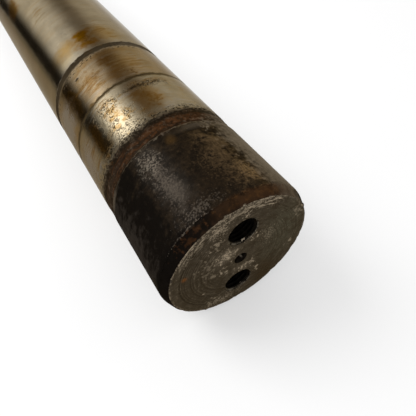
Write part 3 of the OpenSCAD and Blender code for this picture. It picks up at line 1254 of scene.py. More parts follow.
class Place:
    """Where a point of the pin lies, in millimetres, with the noises that break up its finishes."""

    cloud_scale: float = 0.09
    mottle_scale: float = 0.32
    cloud_detail: float = 4.0
    cloud_wander: float = 0.9
    mottle_wander: float = 1.0
    flake_thinning: float = 0.2
    flake_detail: float = 5.0
    flake_roughness: float = 0.6
    streak_wave: float = 7.0
    flake_gaps: Range = (0.36, 0.58)
    back_turn: float = 70.0

    def __init__(self, wiring: Wiring, sizes: PinSizes, flake_level: float = 0.45) -> None:
        """Reads the object's own coordinates.

        Args:
            wiring: the material's wiring.
            sizes: the pin's sizes.
            flake_level: level of the noise above which flakes show in the middle of a patch.
        """
        self.wiring = wiring
        self.flake_level = flake_level
        self.grains: dict[Grain, Field] = {}
        read = wiring.field("ShaderNodeTexCoord", "Object")
        self.point = wiring.field("ShaderNodeMapping", 0, {
            "Vector": read,
            "Location": (0.0, sizes.length / 2, -sizes.radius),
            "Scale": (PER_METRE,) * 3,
        })
        self.right, self.along, self.above = wiring.separate(self.point)
        self.from_end = wiring.math("MINIMUM", self.along, sizes.length - self.along)
        self.in_back = wiring.math("GREATER_THAN", self.along, sizes.length / 2)
        self.angle = wiring.math("ARCTAN2", self.right, self.above) * math.degrees(1)
        flat = wiring.combine(self.right, 0.0, self.above)
        self.radius = wiring.length(flat)
        self.outwards = wiring.vector_math("NORMALIZE", flat)
        self.clouds = wiring.noise(self.point, self.cloud_scale, self.cloud_detail)
        self.mottle = wiring.noise(self.point, self.mottle_scale, self.cloud_detail)
        wander = (self.mottle - NOISE_MIDDLE) * self.mottle_wander
        self.ragged = (self.clouds - NOISE_MIDDLE) * self.cloud_wander + wander

    def flakes(self, grain: Grain) -> Field:
        """Noise with the marks of one grain, made once.

        Args:
            grain: the grain.

        Returns:
            The noise as a field.
        """
        if grain not in self.grains:
            self.grains[grain] = self.wiring.noise(self.marks(grain), 1.0, self.flake_detail,
                                                   roughness=self.flake_roughness)
        return self.grains[grain]

    def marks(self, grain: Grain) -> Field:
        """Point in units of the grain's marks.

        Args:
            grain: the grain.

        Returns:
            The point as a field.
        """
        wiring = self.wiring
        turning, across = grain.value
        if grain is Grain.TURNED:
            ring = wiring.scaled(self.outwards, FACE_MARK_RADIUS / turning)
            return wiring.vector_math("ADD", ring, wiring.combine(0.0, self.radius / across, 0.0))
        point = self.point
        if grain is Grain.STREAK:
            wave = (self.clouds - NOISE_MIDDLE) * self.streak_wave
            point = wiring.vector_math("ADD", point, wiring.combine(0.0, wave, 0.0))
        return wiring.vector_math("MULTIPLY", point, (1 / turning, 1 / across, 1 / turning))

    def twice_round(self, angle: Field) -> Field:
        """Degrees round the pin from a mark that has a second one on the pin's other side."""
        return self.wiring.math("WRAP", angle, QUARTER_CIRCLE, -QUARTER_CIRCLE)

    def share(self, patch: Patch, across: Field, up: Field) -> Field:
        """How much of a patch shows.

        Args:
            patch: the patch.
            across: the point's distance from the middle of the patch, across.
            up: the point's distance from it, upwards.

        Returns:
            The share from 0 to 1.
        """
        wiring = self.wiring
        offset = wiring.combine(across / patch.half_across, up / patch.half_up, 0.0)
        reach = wiring.length(offset) + self.ragged
        full, gone, soft, least = patch.edge.value
        if patch.grain is None:
            return wiring.ramp(reach, gone, full) * patch.strength
        level = wiring.math("MAXIMUM", reach, 0.0) * self.flake_thinning + self.flake_level
        shown = wiring.ramp(self.flakes(patch.grain) - level, -soft / 2, soft / 2) * patch.strength
        return shown * wiring.ramp(self.flakes(Grain.FINE), *self.flake_gaps, least, 1.0)

    def on_end(self, patch: Patch) -> Field:
        """Share of a patch that both ends of the journal carry."""
        turned = self.angle + self.in_back * self.back_turn - patch.up
        return self.share(patch, self.from_end - patch.across, self.twice_round(turned))

    def on_shaft(self, patch: Patch) -> Field:
        """Share of a patch of the journal that is placed from the front face."""
        return self.share(patch, self.along - patch.across, self.twice_round(self.angle - patch.up))

    def on_face(self, patch: Patch) -> Field:
        """Share of a patch of an end face."""
        return self.share(patch, self.right - patch.across, self.above - patch.up)


@dataclass(frozen=True)
class JournalFinish:
    """Ground steel of the pin's side: bright in its middle, worn, pitted and rusted towards its ends."""

    sizes: PinSizes
    edge_wander: float = 3.0
    edge_fray: float = 2.4
    cloud_range: Range = (0.3, 0.7)
    cloud_shade: float = 0.13
    journal_soft: float = 1.0
    grinding_marks: tuple[float, float, float] = (0.25, 9.0, 0.25)
    grinding_detail: float = 2.0
    grinding_height: float = 0.004
    gloss_change: float = 0.12
    plain_relief: float = 0.006
    neck_side: Range = (11.0, -2.0)
    pit_level: float = 0.3
    pits_by_neck: float = 0.2
    pits_by_groove: float = 0.14
    pit_soft: float = 0.04
    pit_shade: float = 0.92
    curl_scale: float = 0.5
    curl_detail: float = 1.0
    curl_bend: float = 1.2
    curl_width: Range = (0.05, 0.025)
    curl_gaps: Range = (0.12, 0.06)
    line_scale: float = 0.3
    line_detail: float = 3.0
    line_bend: float = 0.8
    line_width: Range = (0.028, 0.012)
    line_shade: float = 0.68
    etched_depth: float = 0.05

    def relief(self, from_end: np.ndarray) -> np.ndarray:
        """Depth of the corroded relief at each distance from the nearest end face.

        Args:
            from_end: the distances.

        Returns:
            A depth for each distance.
        """
        depth = np.full_like(from_end, self.plain_relief)
        for band in (*STEEL_BANDS, *DIRT_BANDS):
            start, stop = band.span(self.sizes)
            inside = np.clip((from_end - start) / band.soft_start + 1, 0, 1)
            inside *= np.clip((stop - from_end) / band.soft_stop + 1, 0, 1)
            depth += (band.relief - depth) * inside
        return depth

    def material(self) -> bpy.types.Material:
        """Builds the material.

        Returns:
            The finished material.
        """
        coat = Coat("journal_steel", GROUND_STEEL)
        wiring = coat.wiring
        place = Place(wiring, self.sizes)
        fray = (place.flakes(Grain.MIDDLE) - NOISE_MIDDLE) * self.edge_fray
        edge = place.from_end + (place.mottle - NOISE_MIDDLE) * self.edge_wander + fray
        for band in STEEL_BANDS:
            coat.lay(self.inside(wiring, place.from_end, band), band.layer)
        coat.shade(wiring.ramp(place.clouds, *self.cloud_range, 1 - self.cloud_shade, 1 + self.cloud_shade))
        coat.scatter(BEARING_FLECKS, place, self.inside(wiring, place.from_end, BEARING))
        unworn = self.sizes.groove_at
        coat.scatter(JOURNAL_FLECKS, place, wiring.ramp(place.from_end, unworn, unworn + self.journal_soft))
        for band in DIRT_BANDS:
            coat.lay(self.inside(wiring, edge, band), band.layer)
        seat, neck, lead = (self.inside(wiring, edge, stretch) for stretch in (SEAT, NECK, LEAD))
        coat.scatter(SEAT_FLECKS, place, seat)
        coat.scatter(LEAD_FLECKS, place, lead)
        coat.roughen(place, RUST_HEIGHTS, seat + neck + lead)
        for patch in END_PATCHES:
            coat.lay(place.on_end(patch), patch.layer)
        coat.scatter(NECK_FLECKS, place, neck)
        for patch in SHAFT_PATCHES:
            coat.lay(place.on_shaft(patch), patch.layer)
        self.etch(coat, place, edge)
        ground = wiring.vector_math("MULTIPLY", place.point, self.grinding_marks)
        coat.raise_by(wiring.noise(ground, 1.0, self.grinding_detail), self.grinding_height)
        coat.roughness = coat.roughness + (place.flakes(Grain.FINE) - NOISE_MIDDLE) * self.gloss_change
        return coat.close()

    def inside(self, wiring: Wiring, edge: Field, stretch: Stretch) -> Field:
        """Share of a stretch at a distance from the end face.

        Args:
            wiring: the material's wiring.
            edge: the distance.
            stretch: the stretch.

        Returns:
            The share as a field.
        """
        start, stop = stretch.span(self.sizes)
        entered = wiring.ramp(edge, start - stretch.soft_start, start)
        return entered * wiring.ramp(edge, stop + stretch.soft_stop, stop)

    def etch(self, coat: Coat, place: Place, edge: Field) -> None:
        """Adds black pits beside the neck and the groove, and thin etched lines on the bands.

        Args:
            coat: the finish so far.
            place: where the point lies.
            edge: distance from the nearest end, made to wander.
        """
        wiring = coat.wiring
        by_neck = wiring.ramp(edge, *(self.sizes.neck_end + past for past in self.neck_side))
        by_groove = self.inside(wiring, edge, GROOVE_SIDE)
        level = by_neck * self.pits_by_neck + by_groove * self.pits_by_groove + self.pit_level
        bands = self.inside(wiring, edge, PITTED)
        pits = wiring.ramp(place.flakes(Grain.DASH) - level, 0.0, -self.pit_soft) * bands
        curls = wiring.noise(place.point, self.curl_scale, self.curl_detail, self.curl_bend)
        curled = wiring.ramp(abs(curls - NOISE_MIDDLE), *self.curl_width)
        gate = wiring.ramp(place.flakes(Grain.COARSE) - level, *self.curl_gaps) * bands
        pits = wiring.math("MAXIMUM", pits, curled * gate * by_neck)
        pits = wiring.math("MAXIMUM", pits, curled * place.on_shaft(CURL_CHAIN))
        wander = wiring.noise(place.point, self.line_scale, self.line_detail, self.line_bend)
        lines = wiring.ramp(abs(wander - NOISE_MIDDLE), *self.line_width)
        patches: Number = 0.0
        for patch in ETCHED_PATCHES:
            patches = wiring.math("MAXIMUM", place.on_shaft(patch), patches)
        etched = lines * patches
        coat.lay(pits * self.pit_shade, PIT_BLACK)
        coat.lay(etched * self.line_shade, PIT_BLACK)
        coat.raise_by(pits + etched, -self.etched_depth)


@dataclass(frozen=True)
class EndFaceFinish:
    """Turned end faces: dull oiled steel with tool rings, knocks and scuffs."""

    sizes: PinSizes
    flake_level: float = 0.475
    cloud_range: Range = (0.3, 0.7)
    cloud_shade: Range = (0.75, 1.25)
    wander: float = 2.4
    ring_pitch: float = 1.1
    ring_wander: float = 0.1
    ring_detail: float = 3.0
    ring_dark: Range = (0.5, 0.4)
    ring_bright: Range = (0.56, 0.64)
    ring_slant: float = 0.4
    ring_side: Range = (-4.0, -16.0)
    ring_right: float = 0.45
    ring_reach: Range = (16.0, 33.0)
    ring_soft: float = 4.0
    ring_gaps: Range = (0.3, 0.5)
    ring_shade: float = 0.9
    ring_shine: float = 0.1
    ring_depth: float = 0.04
    knock_lean: Range = (0.9, 0.25)
    knock_height: Range = (17.0, 27.0)
    knock_inset: Range = (8.0, 3.0)
    knock_spread: float = 0.05
    knock_flecks: Range = (0.57, 0.63)
    knock_shine: float = 0.52
    rim_wander: float = 0.5
    rim_inset: Range = (1.7, 0.4)
    rim_side: Range = (20.0, -10.0)
    rim_right: float = 0.4
    rim_flecks: Range = (0.46, 0.56)
    rim_shine: float = 0.5

    def material(self) -> bpy.types.Material:
        """Builds the material.

        Returns:
            The finished material.
        """
        coat = Coat("end_face_steel", FACE_STEEL)
        wiring = coat.wiring
        place = Place(wiring, self.sizes, self.flake_level)
        coat.shade(wiring.ramp(place.flakes(Grain.COARSE), *self.cloud_range, *self.cloud_shade))
        for patch in FACE_TONES:
            coat.lay(place.on_face(patch), patch.layer)
        wander = (place.mottle - NOISE_MIDDLE) * self.wander
        rings = self.turn_rings(coat, place, wander)
        coat.scatter(FACE_FLECKS, place, 1.0)
        for patch in FACE_PATCHES:
            coat.lay(place.on_face(patch), patch.layer)
        self.knock_rim(coat, place, wander)
        coat.roughen(place, FACE_HEIGHTS)
        coat.raise_by(rings, -self.ring_depth)
        return coat.close()

    def turn_rings(self, coat: Coat, place: Place, wander: Field) -> Field:
        """Adds the rings that the turning tool left, clearest at the left.

        Args:
            coat: the finish so far.
            place: where the point lies.
            wander: how far a ring strays from its circle.

        Returns:
            The share of the dark rings.
        """
        wiring = coat.wiring
        turns = wiring.combine(place.radius / self.ring_pitch + wander * self.ring_wander, 0.0, 0.0)
        noise = wiring.noise(turns, 1.0, self.ring_detail)
        dark = wiring.ramp(noise, *self.ring_dark)
        slanted = place.right + place.above * self.ring_slant
        left = wiring.ramp(slanted, *self.ring_side, self.ring_right, 1.0)
        clear = left * wiring.window(place.radius, *self.ring_reach, self.ring_soft)
        clear = clear * wiring.ramp(place.clouds, *self.ring_gaps)
        coat.lay(dark * clear * self.ring_shade, RING_DARK)
        coat.lay(wiring.ramp(noise, *self.ring_bright) * clear * self.ring_shine, FACE_SCUFF)
        return dark * clear

    def knock_rim(self, coat: Coat, place: Place, wander: Field) -> None:
        """Adds bright knocks along the upper rim and a worn edge round the whole face.

        Args:
            coat: the finish so far.
            place: where the point lies.
            wander: how far the knocks stray from the rim.
        """
        wiring = coat.wiring
        rim_radius = self.sizes.face_radius
        lean_up, lean_right = self.knock_lean
        upper = wiring.ramp(place.above * lean_up - place.right * lean_right, *self.knock_height)
        near = wiring.ramp(place.radius + wander, *(rim_radius - inset for inset in self.knock_inset))
        knocked = upper * near
        for grain in (Grain.TURNED, Grain.FINE):
            flecks = wiring.ramp(place.flakes(grain) + knocked * self.knock_spread, *self.knock_flecks)
            coat.lay(knocked * flecks * self.knock_shine, FACE_SCUFF)
        edge = place.radius + wander * self.rim_wander
        rim = wiring.ramp(edge, *(rim_radius - inset for inset in self.rim_inset))
        rim = rim * wiring.ramp(place.right, *self.rim_side, self.rim_right, 1.0)
        flecks = wiring.ramp(place.flakes(Grain.MIDDLE), *self.rim_flecks)
        coat.lay(rim * flecks * self.rim_shine, FACE_SCUFF)


@dataclass(frozen=True)
class BoreFinish:
    """Oily dark steel inside the holes, worn bright at their mouths, with painted glints on the tapped
    holes' lips and in the centre hole.
    """

    sizes: PinSizes
    cloud_range: Range = (0.3, 0.7)
    cloud_shade: Range = (0.6, 1.4)
    mouth_depth: Range = (1.1, 0.5)
    mouth_radius: Range = (5.0, 8.0)
    mouth_flecks: Range = (0.4, 0.55)
    mouth_shine: float = 0.6
    cone_depth: Range = (4.0, 3.0)
    cone_radius: Range = (5.0, 4.0)
    cone_flecks: Range = (0.3, 0.6)
    cone_shade: float = 0.1
    lip_depth: Range = (1.6, 1.0)

    def material(self) -> bpy.types.Material:
        """Builds the material.

        Returns:
            The finished material.
        """
        coat = Coat("bore_steel", BORE_OIL)
        wiring = coat.wiring
        place = Place(wiring, self.sizes)
        grain = place.flakes(Grain.MIDDLE)
        mouth = wiring.ramp(place.from_end, *self.mouth_depth)
        mouth = mouth * wiring.ramp(place.radius, *self.mouth_radius)
        coat.shade(wiring.ramp(grain, *self.cloud_range, *self.cloud_shade))
        coat.lay(mouth * wiring.ramp(grain, *self.mouth_flecks) * self.mouth_shine, WORN_LIP_AND_GLINT)
        cone = wiring.ramp(place.radius, *self.cone_radius) * wiring.ramp(place.from_end, *self.cone_depth)
        coat.lay(cone * wiring.ramp(grain, *self.cone_flecks) * self.cone_shade, FACE_DARK)
        # Painted glint in the centre hole's cone
        coat.lay(cone * place.on_face(CENTRE_GLINT), CENTRE_GLINT.layer)
        # Painted glints on the lips of the tapped holes
        for patch in LIP_GLINTS:
            coat.lay(place.on_face(patch) * wiring.ramp(place.from_end, *self.lip_depth), patch.layer)
        coat.roughen(place, BORE_HEIGHTS)
        return coat.close()


@dataclass
class WornSurface:
    """Tree that eats a shallow uneven relief into the finished pin."""

    coarse_grain: float = 330.0
    coarse_detail: float = 2.0
    coarse_range: Range = (0.3, 0.7)
    coarse_share: float = 0.6
    fine_grain: float = 900.0
    fine_detail: float = 1.0
    fine_range: Range = (0.35, 0.65)
    fine_share: float = 0.4

    def __post_init__(self) -> None:
        """Builds the tree."""
        self.finish_inputs = {surface: f"{surface.name} finish" for surface in Surface}
        self.tree = Tree("worn_surface", {
            "Coarse grain": "Float",
            "Fine grain": "Float",
            "Seed": "Float",
            **{label: "Material" for label in self.finish_inputs.values()},
        })
        wiring = self.tree.wiring
        given = self.tree.given
        depth = wiring.field("GeometryNodeInputNamedAttribute", 0, {"Name": RELIEF}, data_type="FLOAT")
        place = wiring.field("GeometryNodeInputPosition", 0)
        seed = given["Seed"]
        moved = wiring.vector_math("ADD", place, wiring.combine(seed, seed, seed))
        coarse = wiring.noise(moved, given["Coarse grain"], self.coarse_detail)
        coarse = wiring.ramp(coarse, *self.coarse_range)
        fine = wiring.noise(moved, given["Fine grain"], self.fine_detail)
        fine = wiring.ramp(fine, *self.fine_range)
        shape = coarse * self.coarse_share + fine * self.fine_share
        inwards = wiring.scaled(wiring.field("GeometryNodeInputNormal", 0), shape * depth * -1.0)
        eaten = wiring.field("GeometryNodeSetPosition", 0, {
            "Geometry": given["Geometry"],
            "Offset": inwards,
        })
        index = wiring.field("GeometryNodeInputMaterialIndex", 0)
        picks = {}
        for surface, label in self.finish_inputs.items():
            picks[label] = wiring.field("FunctionNodeCompare", 0, {2: index, 3: surface.value},
                                   data_type="INT", operation="EQUAL")
        self.tree.close(eaten, picks)

    def wear(self, name: str, skin: bpy.types.Mesh,
             finishes: dict[Surface, bpy.types.Material]) -> bpy.types.Mesh:
        """Eats the relief into a skin and dresses it.

        Args:
            name: the worn mesh's name.
            skin: the skin, with the depth of its relief at each vertex.
            finishes: the material of each kind of surface.

        Returns:
            The worn mesh.
        """
        return self.tree.grow(name, skin, {
            "Coarse grain": self.coarse_grain,
            "Fine grain": self.fine_grain,
            "Seed": float(WEAR_SEED),
            **{label: finishes[surface] for surface, label in self.finish_inputs.items()},
        })


@dataclass(frozen=True)
class Burr:
    """A small raised burr on the front rim, at an angle from the top towards the right, in degrees."""

    angle: float
    height: float


@dataclass
class WornPin:
    """The whole pin as one closed mesh: turned side, end faces, tapped holes and centre holes."""

    sizes: PinSizes
    segments: int = 168
    face_relief: float = 0.05
    weld: float = 1e-5
    sharp_angle: float = 34.0
    rim_reach: float = 0.9
    nick_depth: float = 0.5
    nick_count: int = 26
    nick_width: float = 3.0
    burrs: tuple[Burr, ...] = (Burr(63.0, 0.9), Burr(-150.0, 0.7))
    burr_width: float = 2.2
    burr_reach: float = 1.2
    burr_inset: float = 1.0
    least_radius: float = 1.0

    def __post_init__(self) -> None:
        """Prepares the finishes."""
        self.journal = JournalFinish(self.sizes)
        self.finishes = {
            Surface.JOURNAL: self.journal.material(),
            Surface.END_FACE: EndFaceFinish(self.sizes).material(),
            Surface.BORE: BoreFinish(self.sizes).material(),
        }

    def parts(self) -> list[tuple[Surface, bpy.types.Mesh]]:
        """Makes the surfaces that bound the pin.

        Returns:
            The surfaces and what kind each is.
        """
        lathe = Lathe(self.sizes)
        outline = Outline(self.sizes).points()
        tapped = TappedHole(self.sizes)
        centre = CentreHole(self.sizes)
        face = EndFace(self.sizes, float(outline[0][1]), self.segments)
        steel, turned, oily = (self.finishes[surface] for surface in Surface)
        side = lathe.turn("turned_side", outline, End.FRONT, self.segments, steel)
        made = [(Surface.JOURNAL, side)]
        for end in End:
            holes = face.openings(end, tapped, centre)
            name = f"end_face_{end.name.lower()}"
            made.append((Surface.END_FACE, face.build(name, end, holes, turned)))
            made.append((Surface.BORE, centre.build(lathe, end, oily)))
            for height in self.sizes.hole_heights(end):
                name = "upper_tapped_hole" if height > 0 else "lower_tapped_hole"
                made.append((Surface.BORE, tapped.build(name, height, oily)))
        return made

    def join(self, parts: Iterable[tuple[Surface, bpy.types.Mesh]]) -> bpy.types.Mesh:
        """Welds the surfaces into one closed skin.

        Args:
            parts: the surfaces and what kind each is.

        Returns:
            The skin as a mesh.
        """
        skin = bmesh.new()
        for surface, mesh in parts:
            for polygon in mesh.polygons:
                polygon.material_index = surface.value
            skin.from_mesh(mesh)
            LOG.info("%s: %d faces", mesh.name, len(mesh.polygons))
        bmesh.ops.remove_doubles(skin, verts=skin.verts, dist=self.weld)
        bmesh.ops.recalc_face_normals(skin, faces=skin.faces)
        open_edges = sum(1 for edge in skin.edges if not edge.is_manifold)
        LOG.info("skin: %d faces, %d open edges", len(skin.faces), open_edges)
        joined = bpy.data.meshes.new("pin_skin")
        skin.to_mesh(joined)
        skin.free()
        for surface in Surface:
            joined.materials.append(self.finishes[surface])
        return joined

    def mark_relief(self, mesh: bpy.types.Mesh) -> None:
        """Gives each vertex the depth that wear and rust may eat into it, and raises the burrs.

        Args:
            mesh: the closed skin.
        """
        sizes = self.sizes
        places = np.array([vertex.co for vertex in mesh.vertices]) / MM
        right = places[:, 0]
        above = places[:, 2] - sizes.radius
        from_front = places[:, 1] + sizes.length / 2
        from_end = np.minimum(from_front, sizes.length - from_front)
        radius = np.hypot(right, above)
        depth = self.journal.relief(from_end)
        within_rim = radius < sizes.face_radius - sizes.face_edge
        depth[within_rim] = 0.0
        depth[within_rim & (from_end < sizes.face_edge / 2)] = self.face_relief
        angle = np.degrees(np.arctan2(right, above))
        rim = np.hypot(radius - sizes.face_radius, from_end) < self.rim_reach
        draw = np.random.default_rng(WEAR_SEED)
        for at in draw.uniform(-HALF_CIRCLE, HALF_CIRCLE, self.nick_count):
            away = degrees_apart(angle, at) / self.nick_width
            depth[rim] += self.nick_depth * np.clip(1 - away, 0, 1)[rim]
        flat = np.column_stack((right, np.zeros_like(right), above))
        spoke = flat / np.maximum(radius, self.least_radius)[:, None]
        on_edge = (from_front < self.burr_reach) & (radius > sizes.face_radius - self.burr_inset)
        for burr in self.burrs:
            away = degrees_apart(angle, burr.angle) / self.burr_width
            lift = burr.height * np.clip(1 - away, 0, 1) * on_edge
            places += spoke * lift[:, None]
        mesh.vertices.foreach_set("co", (places * MM).astype(np.float32).ravel())
        attribute = mesh.attributes.new(RELIEF, "FLOAT", "POINT")
        attribute.data.foreach_set("value", (depth * MM).astype(np.float32))

    def build(self) -> bpy.types.Object:
        """Builds, wears and dresses the pin.

        Returns:
            The finished object, riding on the pin's body.
        """
        skin = self.join(self.parts())
        self.mark_relief(skin)
        worn = WornSurface().wear("worn_pin", skin, self.finishes)
        worn.shade_smooth()
        worn.set_sharp_from_angle(angle=math.radians(self.sharp_angle))
        pin = put_in_scene(bpy.data.objects.new("worn_pin", worn))
        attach(pin, BODY)
        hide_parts(NODE)
        triangles = sum(len(polygon.vertices) - 2 for polygon in worn.polygons)
        LOG.info("worn_pin: %d triangles", triangles)
        return pin


@dataclass
class PhotoCamera:
    """Camera at the photograph's viewing angle, close to the pin's front end."""

    lens: float = 32.907
    sensor: float = 36.0
    place: Point = (-0.063682, -0.325136, 0.188691)
    heading: float = 31.448
    dip: float = 49.297
    nearest: float = 0.01

    def build(self) -> bpy.types.Object:
        """Makes the camera and hands it to the scene.

        Returns:
            The camera.
        """
        data = bpy.data.cameras.new("photo_camera")
        data.lens = self.lens
        data.sensor_width = self.sensor
        data.clip_start = self.nearest
        camera = put_in_scene(bpy.data.objects.new("photo_camera", data))
        camera.location = self.place
        camera.rotation_euler = (math.radians(QUARTER_CIRCLE - self.dip), 0, math.radians(-self.heading))
        bpy.context.scene.camera = camera
        LOG.info("camera: heading %.1f, dip %.1f", self.heading, self.dip)
        return camera


@dataclass(frozen=True)
class GlowSpot:
    """A bright oval spot in the window; places and half sizes are in pin radii, its turn in degrees."""

    at: tuple[float, float]
    turn: float
    half: tuple[float, float]
    level: float


@dataclass
class Studio:
    """Pale floor and surroundings, and a soft window, a dark card and a grey mat that the metal reflects.

    Places of the window, the card and the mat are in pin radii from the middle of the front face.
    """

    sizes: PinSizes
    floor_reach: float = 3.0
    floor_colour: Colour = (0.90, 0.90, 0.90)
    floor_glow: float = 0.5
    surround_colour: Colour = (1.0, 1.0, 1.0)
    surround_seen: float = 0.97
    surround_light: float = 0.86
    side_level: float = 1.1
    overhead_level: float = 0.36
    overhead_tint: Colour = (1.08, 0.97, 0.84)
    overhead_lean: float = 12.0
    overhead_half: float = 10.0
    overhead_fade: float = 32.0
    window_at: float = 20.0
    window_left: float = -26.0
    window_right: float = 6.0
    window_bottom: float = -0.6
    window_top: float = 27.0
    window_fade: tuple[float, float] = (3.6, -3.0)
    window_slope: float = 0.2
    window_tint: Colour = (1.0, 1.02, 1.06)
    window_level: float = 1.46
    spots: tuple[GlowSpot, ...] = (
        GlowSpot((-9.9, 11.9), 37.4, (8.0, 3.2), 4.1),
        GlowSpot((-6.0, 7.4), 90.0, (4.6, 2.4), 0.5),
    )
    spot_core: float = 0.2
    card_at: float = 15.0
    card_left: float = -18.0
    card_right: float = -2.2
    card_bottom: float = -1.0
    card_top: float = 15.0
    card_low: tuple[float, float] = (0.1, 0.42)
    card_high: tuple[float, float] = (2.6, 0.82)
    card_from: float = -4.0
    card_colour: Colour = (0.012, 0.008, 0.003)
    mat_colour: Colour = (0.50, 0.455, 0.38)
    mat_dark: float = 0.06
    mat_fade: tuple[float, float] = (26.0, 10.0)
    mat_slant: float = 1.5
    mat_left: float = -12.0
    mat_right: float = -1.05
    mat_length: float = 14.5
    mat_lift: float = 0.2
    matt_roughness: float = 0.9
    matt_gloss: float = 0.1
    key_size: float = 0.8
    key_power: float = 14.0
    key_place: Point = (-0.7, 0.5, 1.0)

    @property
    def unit(self) -> float:
        """The pin's radius in metres."""
        return self.sizes.radius * MM

    def sheet(self, name: str, corners: Iterable[Point], finish: bpy.types.Material) -> bpy.types.Object:
        """Makes a flat sheet.

        Args:
            name: the sheet's name.
            corners: its corners in order, in metres.
            finish: its material.

        Returns:
            The sheet.
        """
        mesh = bpy.data.meshes.new(name)
        places = list(corners)
        mesh.from_pydata(places, [], [tuple(range(len(places)))])
        mesh.materials.append(finish)
        sheet = put_in_scene(bpy.data.objects.new(name, mesh))
        return sheet

    def upright(self, outline: Iterable[Range], at: float) -> Iterable[Point]:
        """Corners of an upright sheet across the pin's axis, in metres.

        Args:
            outline: its corners as (right, above), in pin radii.
            at: its distance from the front face, in pin radii.

        Returns:
            The corners in order.
        """
        along = self.sizes.face_y(End.FRONT) + at * self.unit
        return ((right * self.unit, along, (above + 1) * self.unit) for right, above in outline)

    def grey_mat(self) -> bpy.types.Object:
        """Lays a grey mat beside the pin's left side that only reflections show.

        Returns:
            The mat.
        """
        front = self.sizes.face_y(End.FRONT)
        back = front + self.mat_length * self.unit
        lying = rectangle(self.mat_left * self.unit, self.mat_right * self.unit, front, back)
        corners = ((right, along, self.mat_lift * MM) for right, along in lying)
        return self.only_in_metal(self.sheet("grey_mat", corners, self.mat_finish()))

    def only_in_metal(self, sheet: bpy.types.Object) -> bpy.types.Object:
        """Hides a sheet from all but reflections.

        Args:
            sheet: the sheet.

        Returns:
            The same sheet.
        """
        sheet.visible_camera = False
        sheet.visible_diffuse = False
        sheet.visible_shadow = False
        return sheet

    def mat_finish(self) -> bpy.types.Material:
        """Matt grey that darkens away from the pin.

        Returns:
            The mat's material.
        """
        material = self.matt("mat_grey", self.mat_colour)
        wiring = Wiring(material.node_tree)
        right, along, _ = self.in_radii(wiring)
        shade = wiring.ramp(along - right * self.mat_slant, *self.mat_fade, self.mat_dark, 1.0)
        shader = material.node_tree.nodes["Principled BSDF"]
        wiring.plug(shader.inputs["Base Color"], wiring.scaled(self.mat_colour, shade))
        return material

    def in_radii(self, wiring: Wiring) -> tuple[Field, Field, Field]:
        """Point of a sheet in pin radii: right of the axis, along it from the front face and above it.

        Args:
            wiring: the material's wiring.

        Returns:
            The three places as fields.
        """
        point = wiring.scaled(wiring.field("ShaderNodeTexCoord", "Object"), 1 / self.unit)
        right, along, above = wiring.separate(point)
        return right, along - self.sizes.face_y(End.FRONT) / self.unit, above - 1.0

    def card_finish(self) -> bpy.types.Material:
        """Dark card that lets the light through above a soft, sloping upper edge.

        Returns:
            The card's material.
        """
        material = blank_material("card_black")
        wiring = Wiring(material.node_tree)
        right, _, height = self.in_radii(wiring)
        left = self.card_from - right
        low = left * self.card_low[1] + self.card_low[0]
        high = left * self.card_high[1] + self.card_high[0]
        dark = wiring.field("ShaderNodeEmission", 0, {"Color": rgba(self.card_colour)})
        clear = wiring.field("ShaderNodeBsdfTransparent", 0)
        share = wiring.ramp(height, low, high)
        card = wiring.field("ShaderNodeMixShader", 0, {0: share, 1: dark, 2: clear})
        wiring.node("ShaderNodeOutputMaterial", {"Surface": card})
        return material

    def glow_spot(self, wiring: Wiring, right: Field, height: Field, spot: GlowSpot) -> Field:
        """Light of a bright oval spot in the window.

        Args:
            wiring: the material's wiring.
            right: the point's place right of the axis.
            height: its height above the axis.
            spot: the spot.

        Returns:
            The light that the spot adds, as a field.
        """
        turn = math.radians(spot.turn)
        from_left = right - spot.at[0]
        from_below = height - spot.at[1]
        length = (from_left * math.cos(turn) + from_below * math.sin(turn)) / spot.half[0]
        width = (from_below * math.cos(turn) - from_left * math.sin(turn)) / spot.half[1]
        reach = wiring.length(wiring.combine(length, width, 0.0))
        return wiring.ramp(reach, 1.0, self.spot_core) * spot.level

    def window_glow(self) -> bpy.types.Material:
        """Light of the window: brightest at its left, soft at its right edge.

        Returns:
            The window's material.
        """
        material = blank_material("window_glow")
        wiring = Wiring(material.node_tree)
        right, _, height = self.in_radii(wiring)
        fade = wiring.ramp(right + height * self.window_slope, *self.window_fade)
        level: Number = self.window_level
        for spot in self.spots:
            level = self.glow_spot(wiring, right, height, spot) + level
        lit = wiring.field("ShaderNodeEmission", 0, {"Color": rgba(self.window_tint), "Strength": level})
        clear = wiring.field("ShaderNodeBsdfTransparent", 0)
        glow = wiring.field("ShaderNodeMixShader", 0, {0: fade, 1: clear, 2: lit})
        wiring.node("ShaderNodeOutputMaterial", {"Surface": glow})
        return material

    def matt(self, name: str, colour: Colour) -> bpy.types.Material:
        """Plain matt finish for the floor and the mat.

        Args:
            name: its name.
            colour: its colour.

        Returns:
            The material.
        """
        material = bpy.data.materials.new(name)
        material.use_nodes = True
        shader = material.node_tree.nodes["Principled BSDF"]
        shader.inputs["Base Color"].default_value = rgba(colour)
        shader.inputs["Roughness"].default_value = self.matt_roughness
        shader.inputs["Specular IOR Level"].default_value = self.matt_gloss
        return material

    def floor(self) -> bpy.types.Object:
        """Makes the floor that the pin lies on.

        Returns:
            The floor.
        """
        reach = self.floor_reach
        corners = ((x, y, 0.0) for x, y in rectangle(-reach, reach, -reach, reach))
        return self.sheet("floor", corners, self.floor_finish())

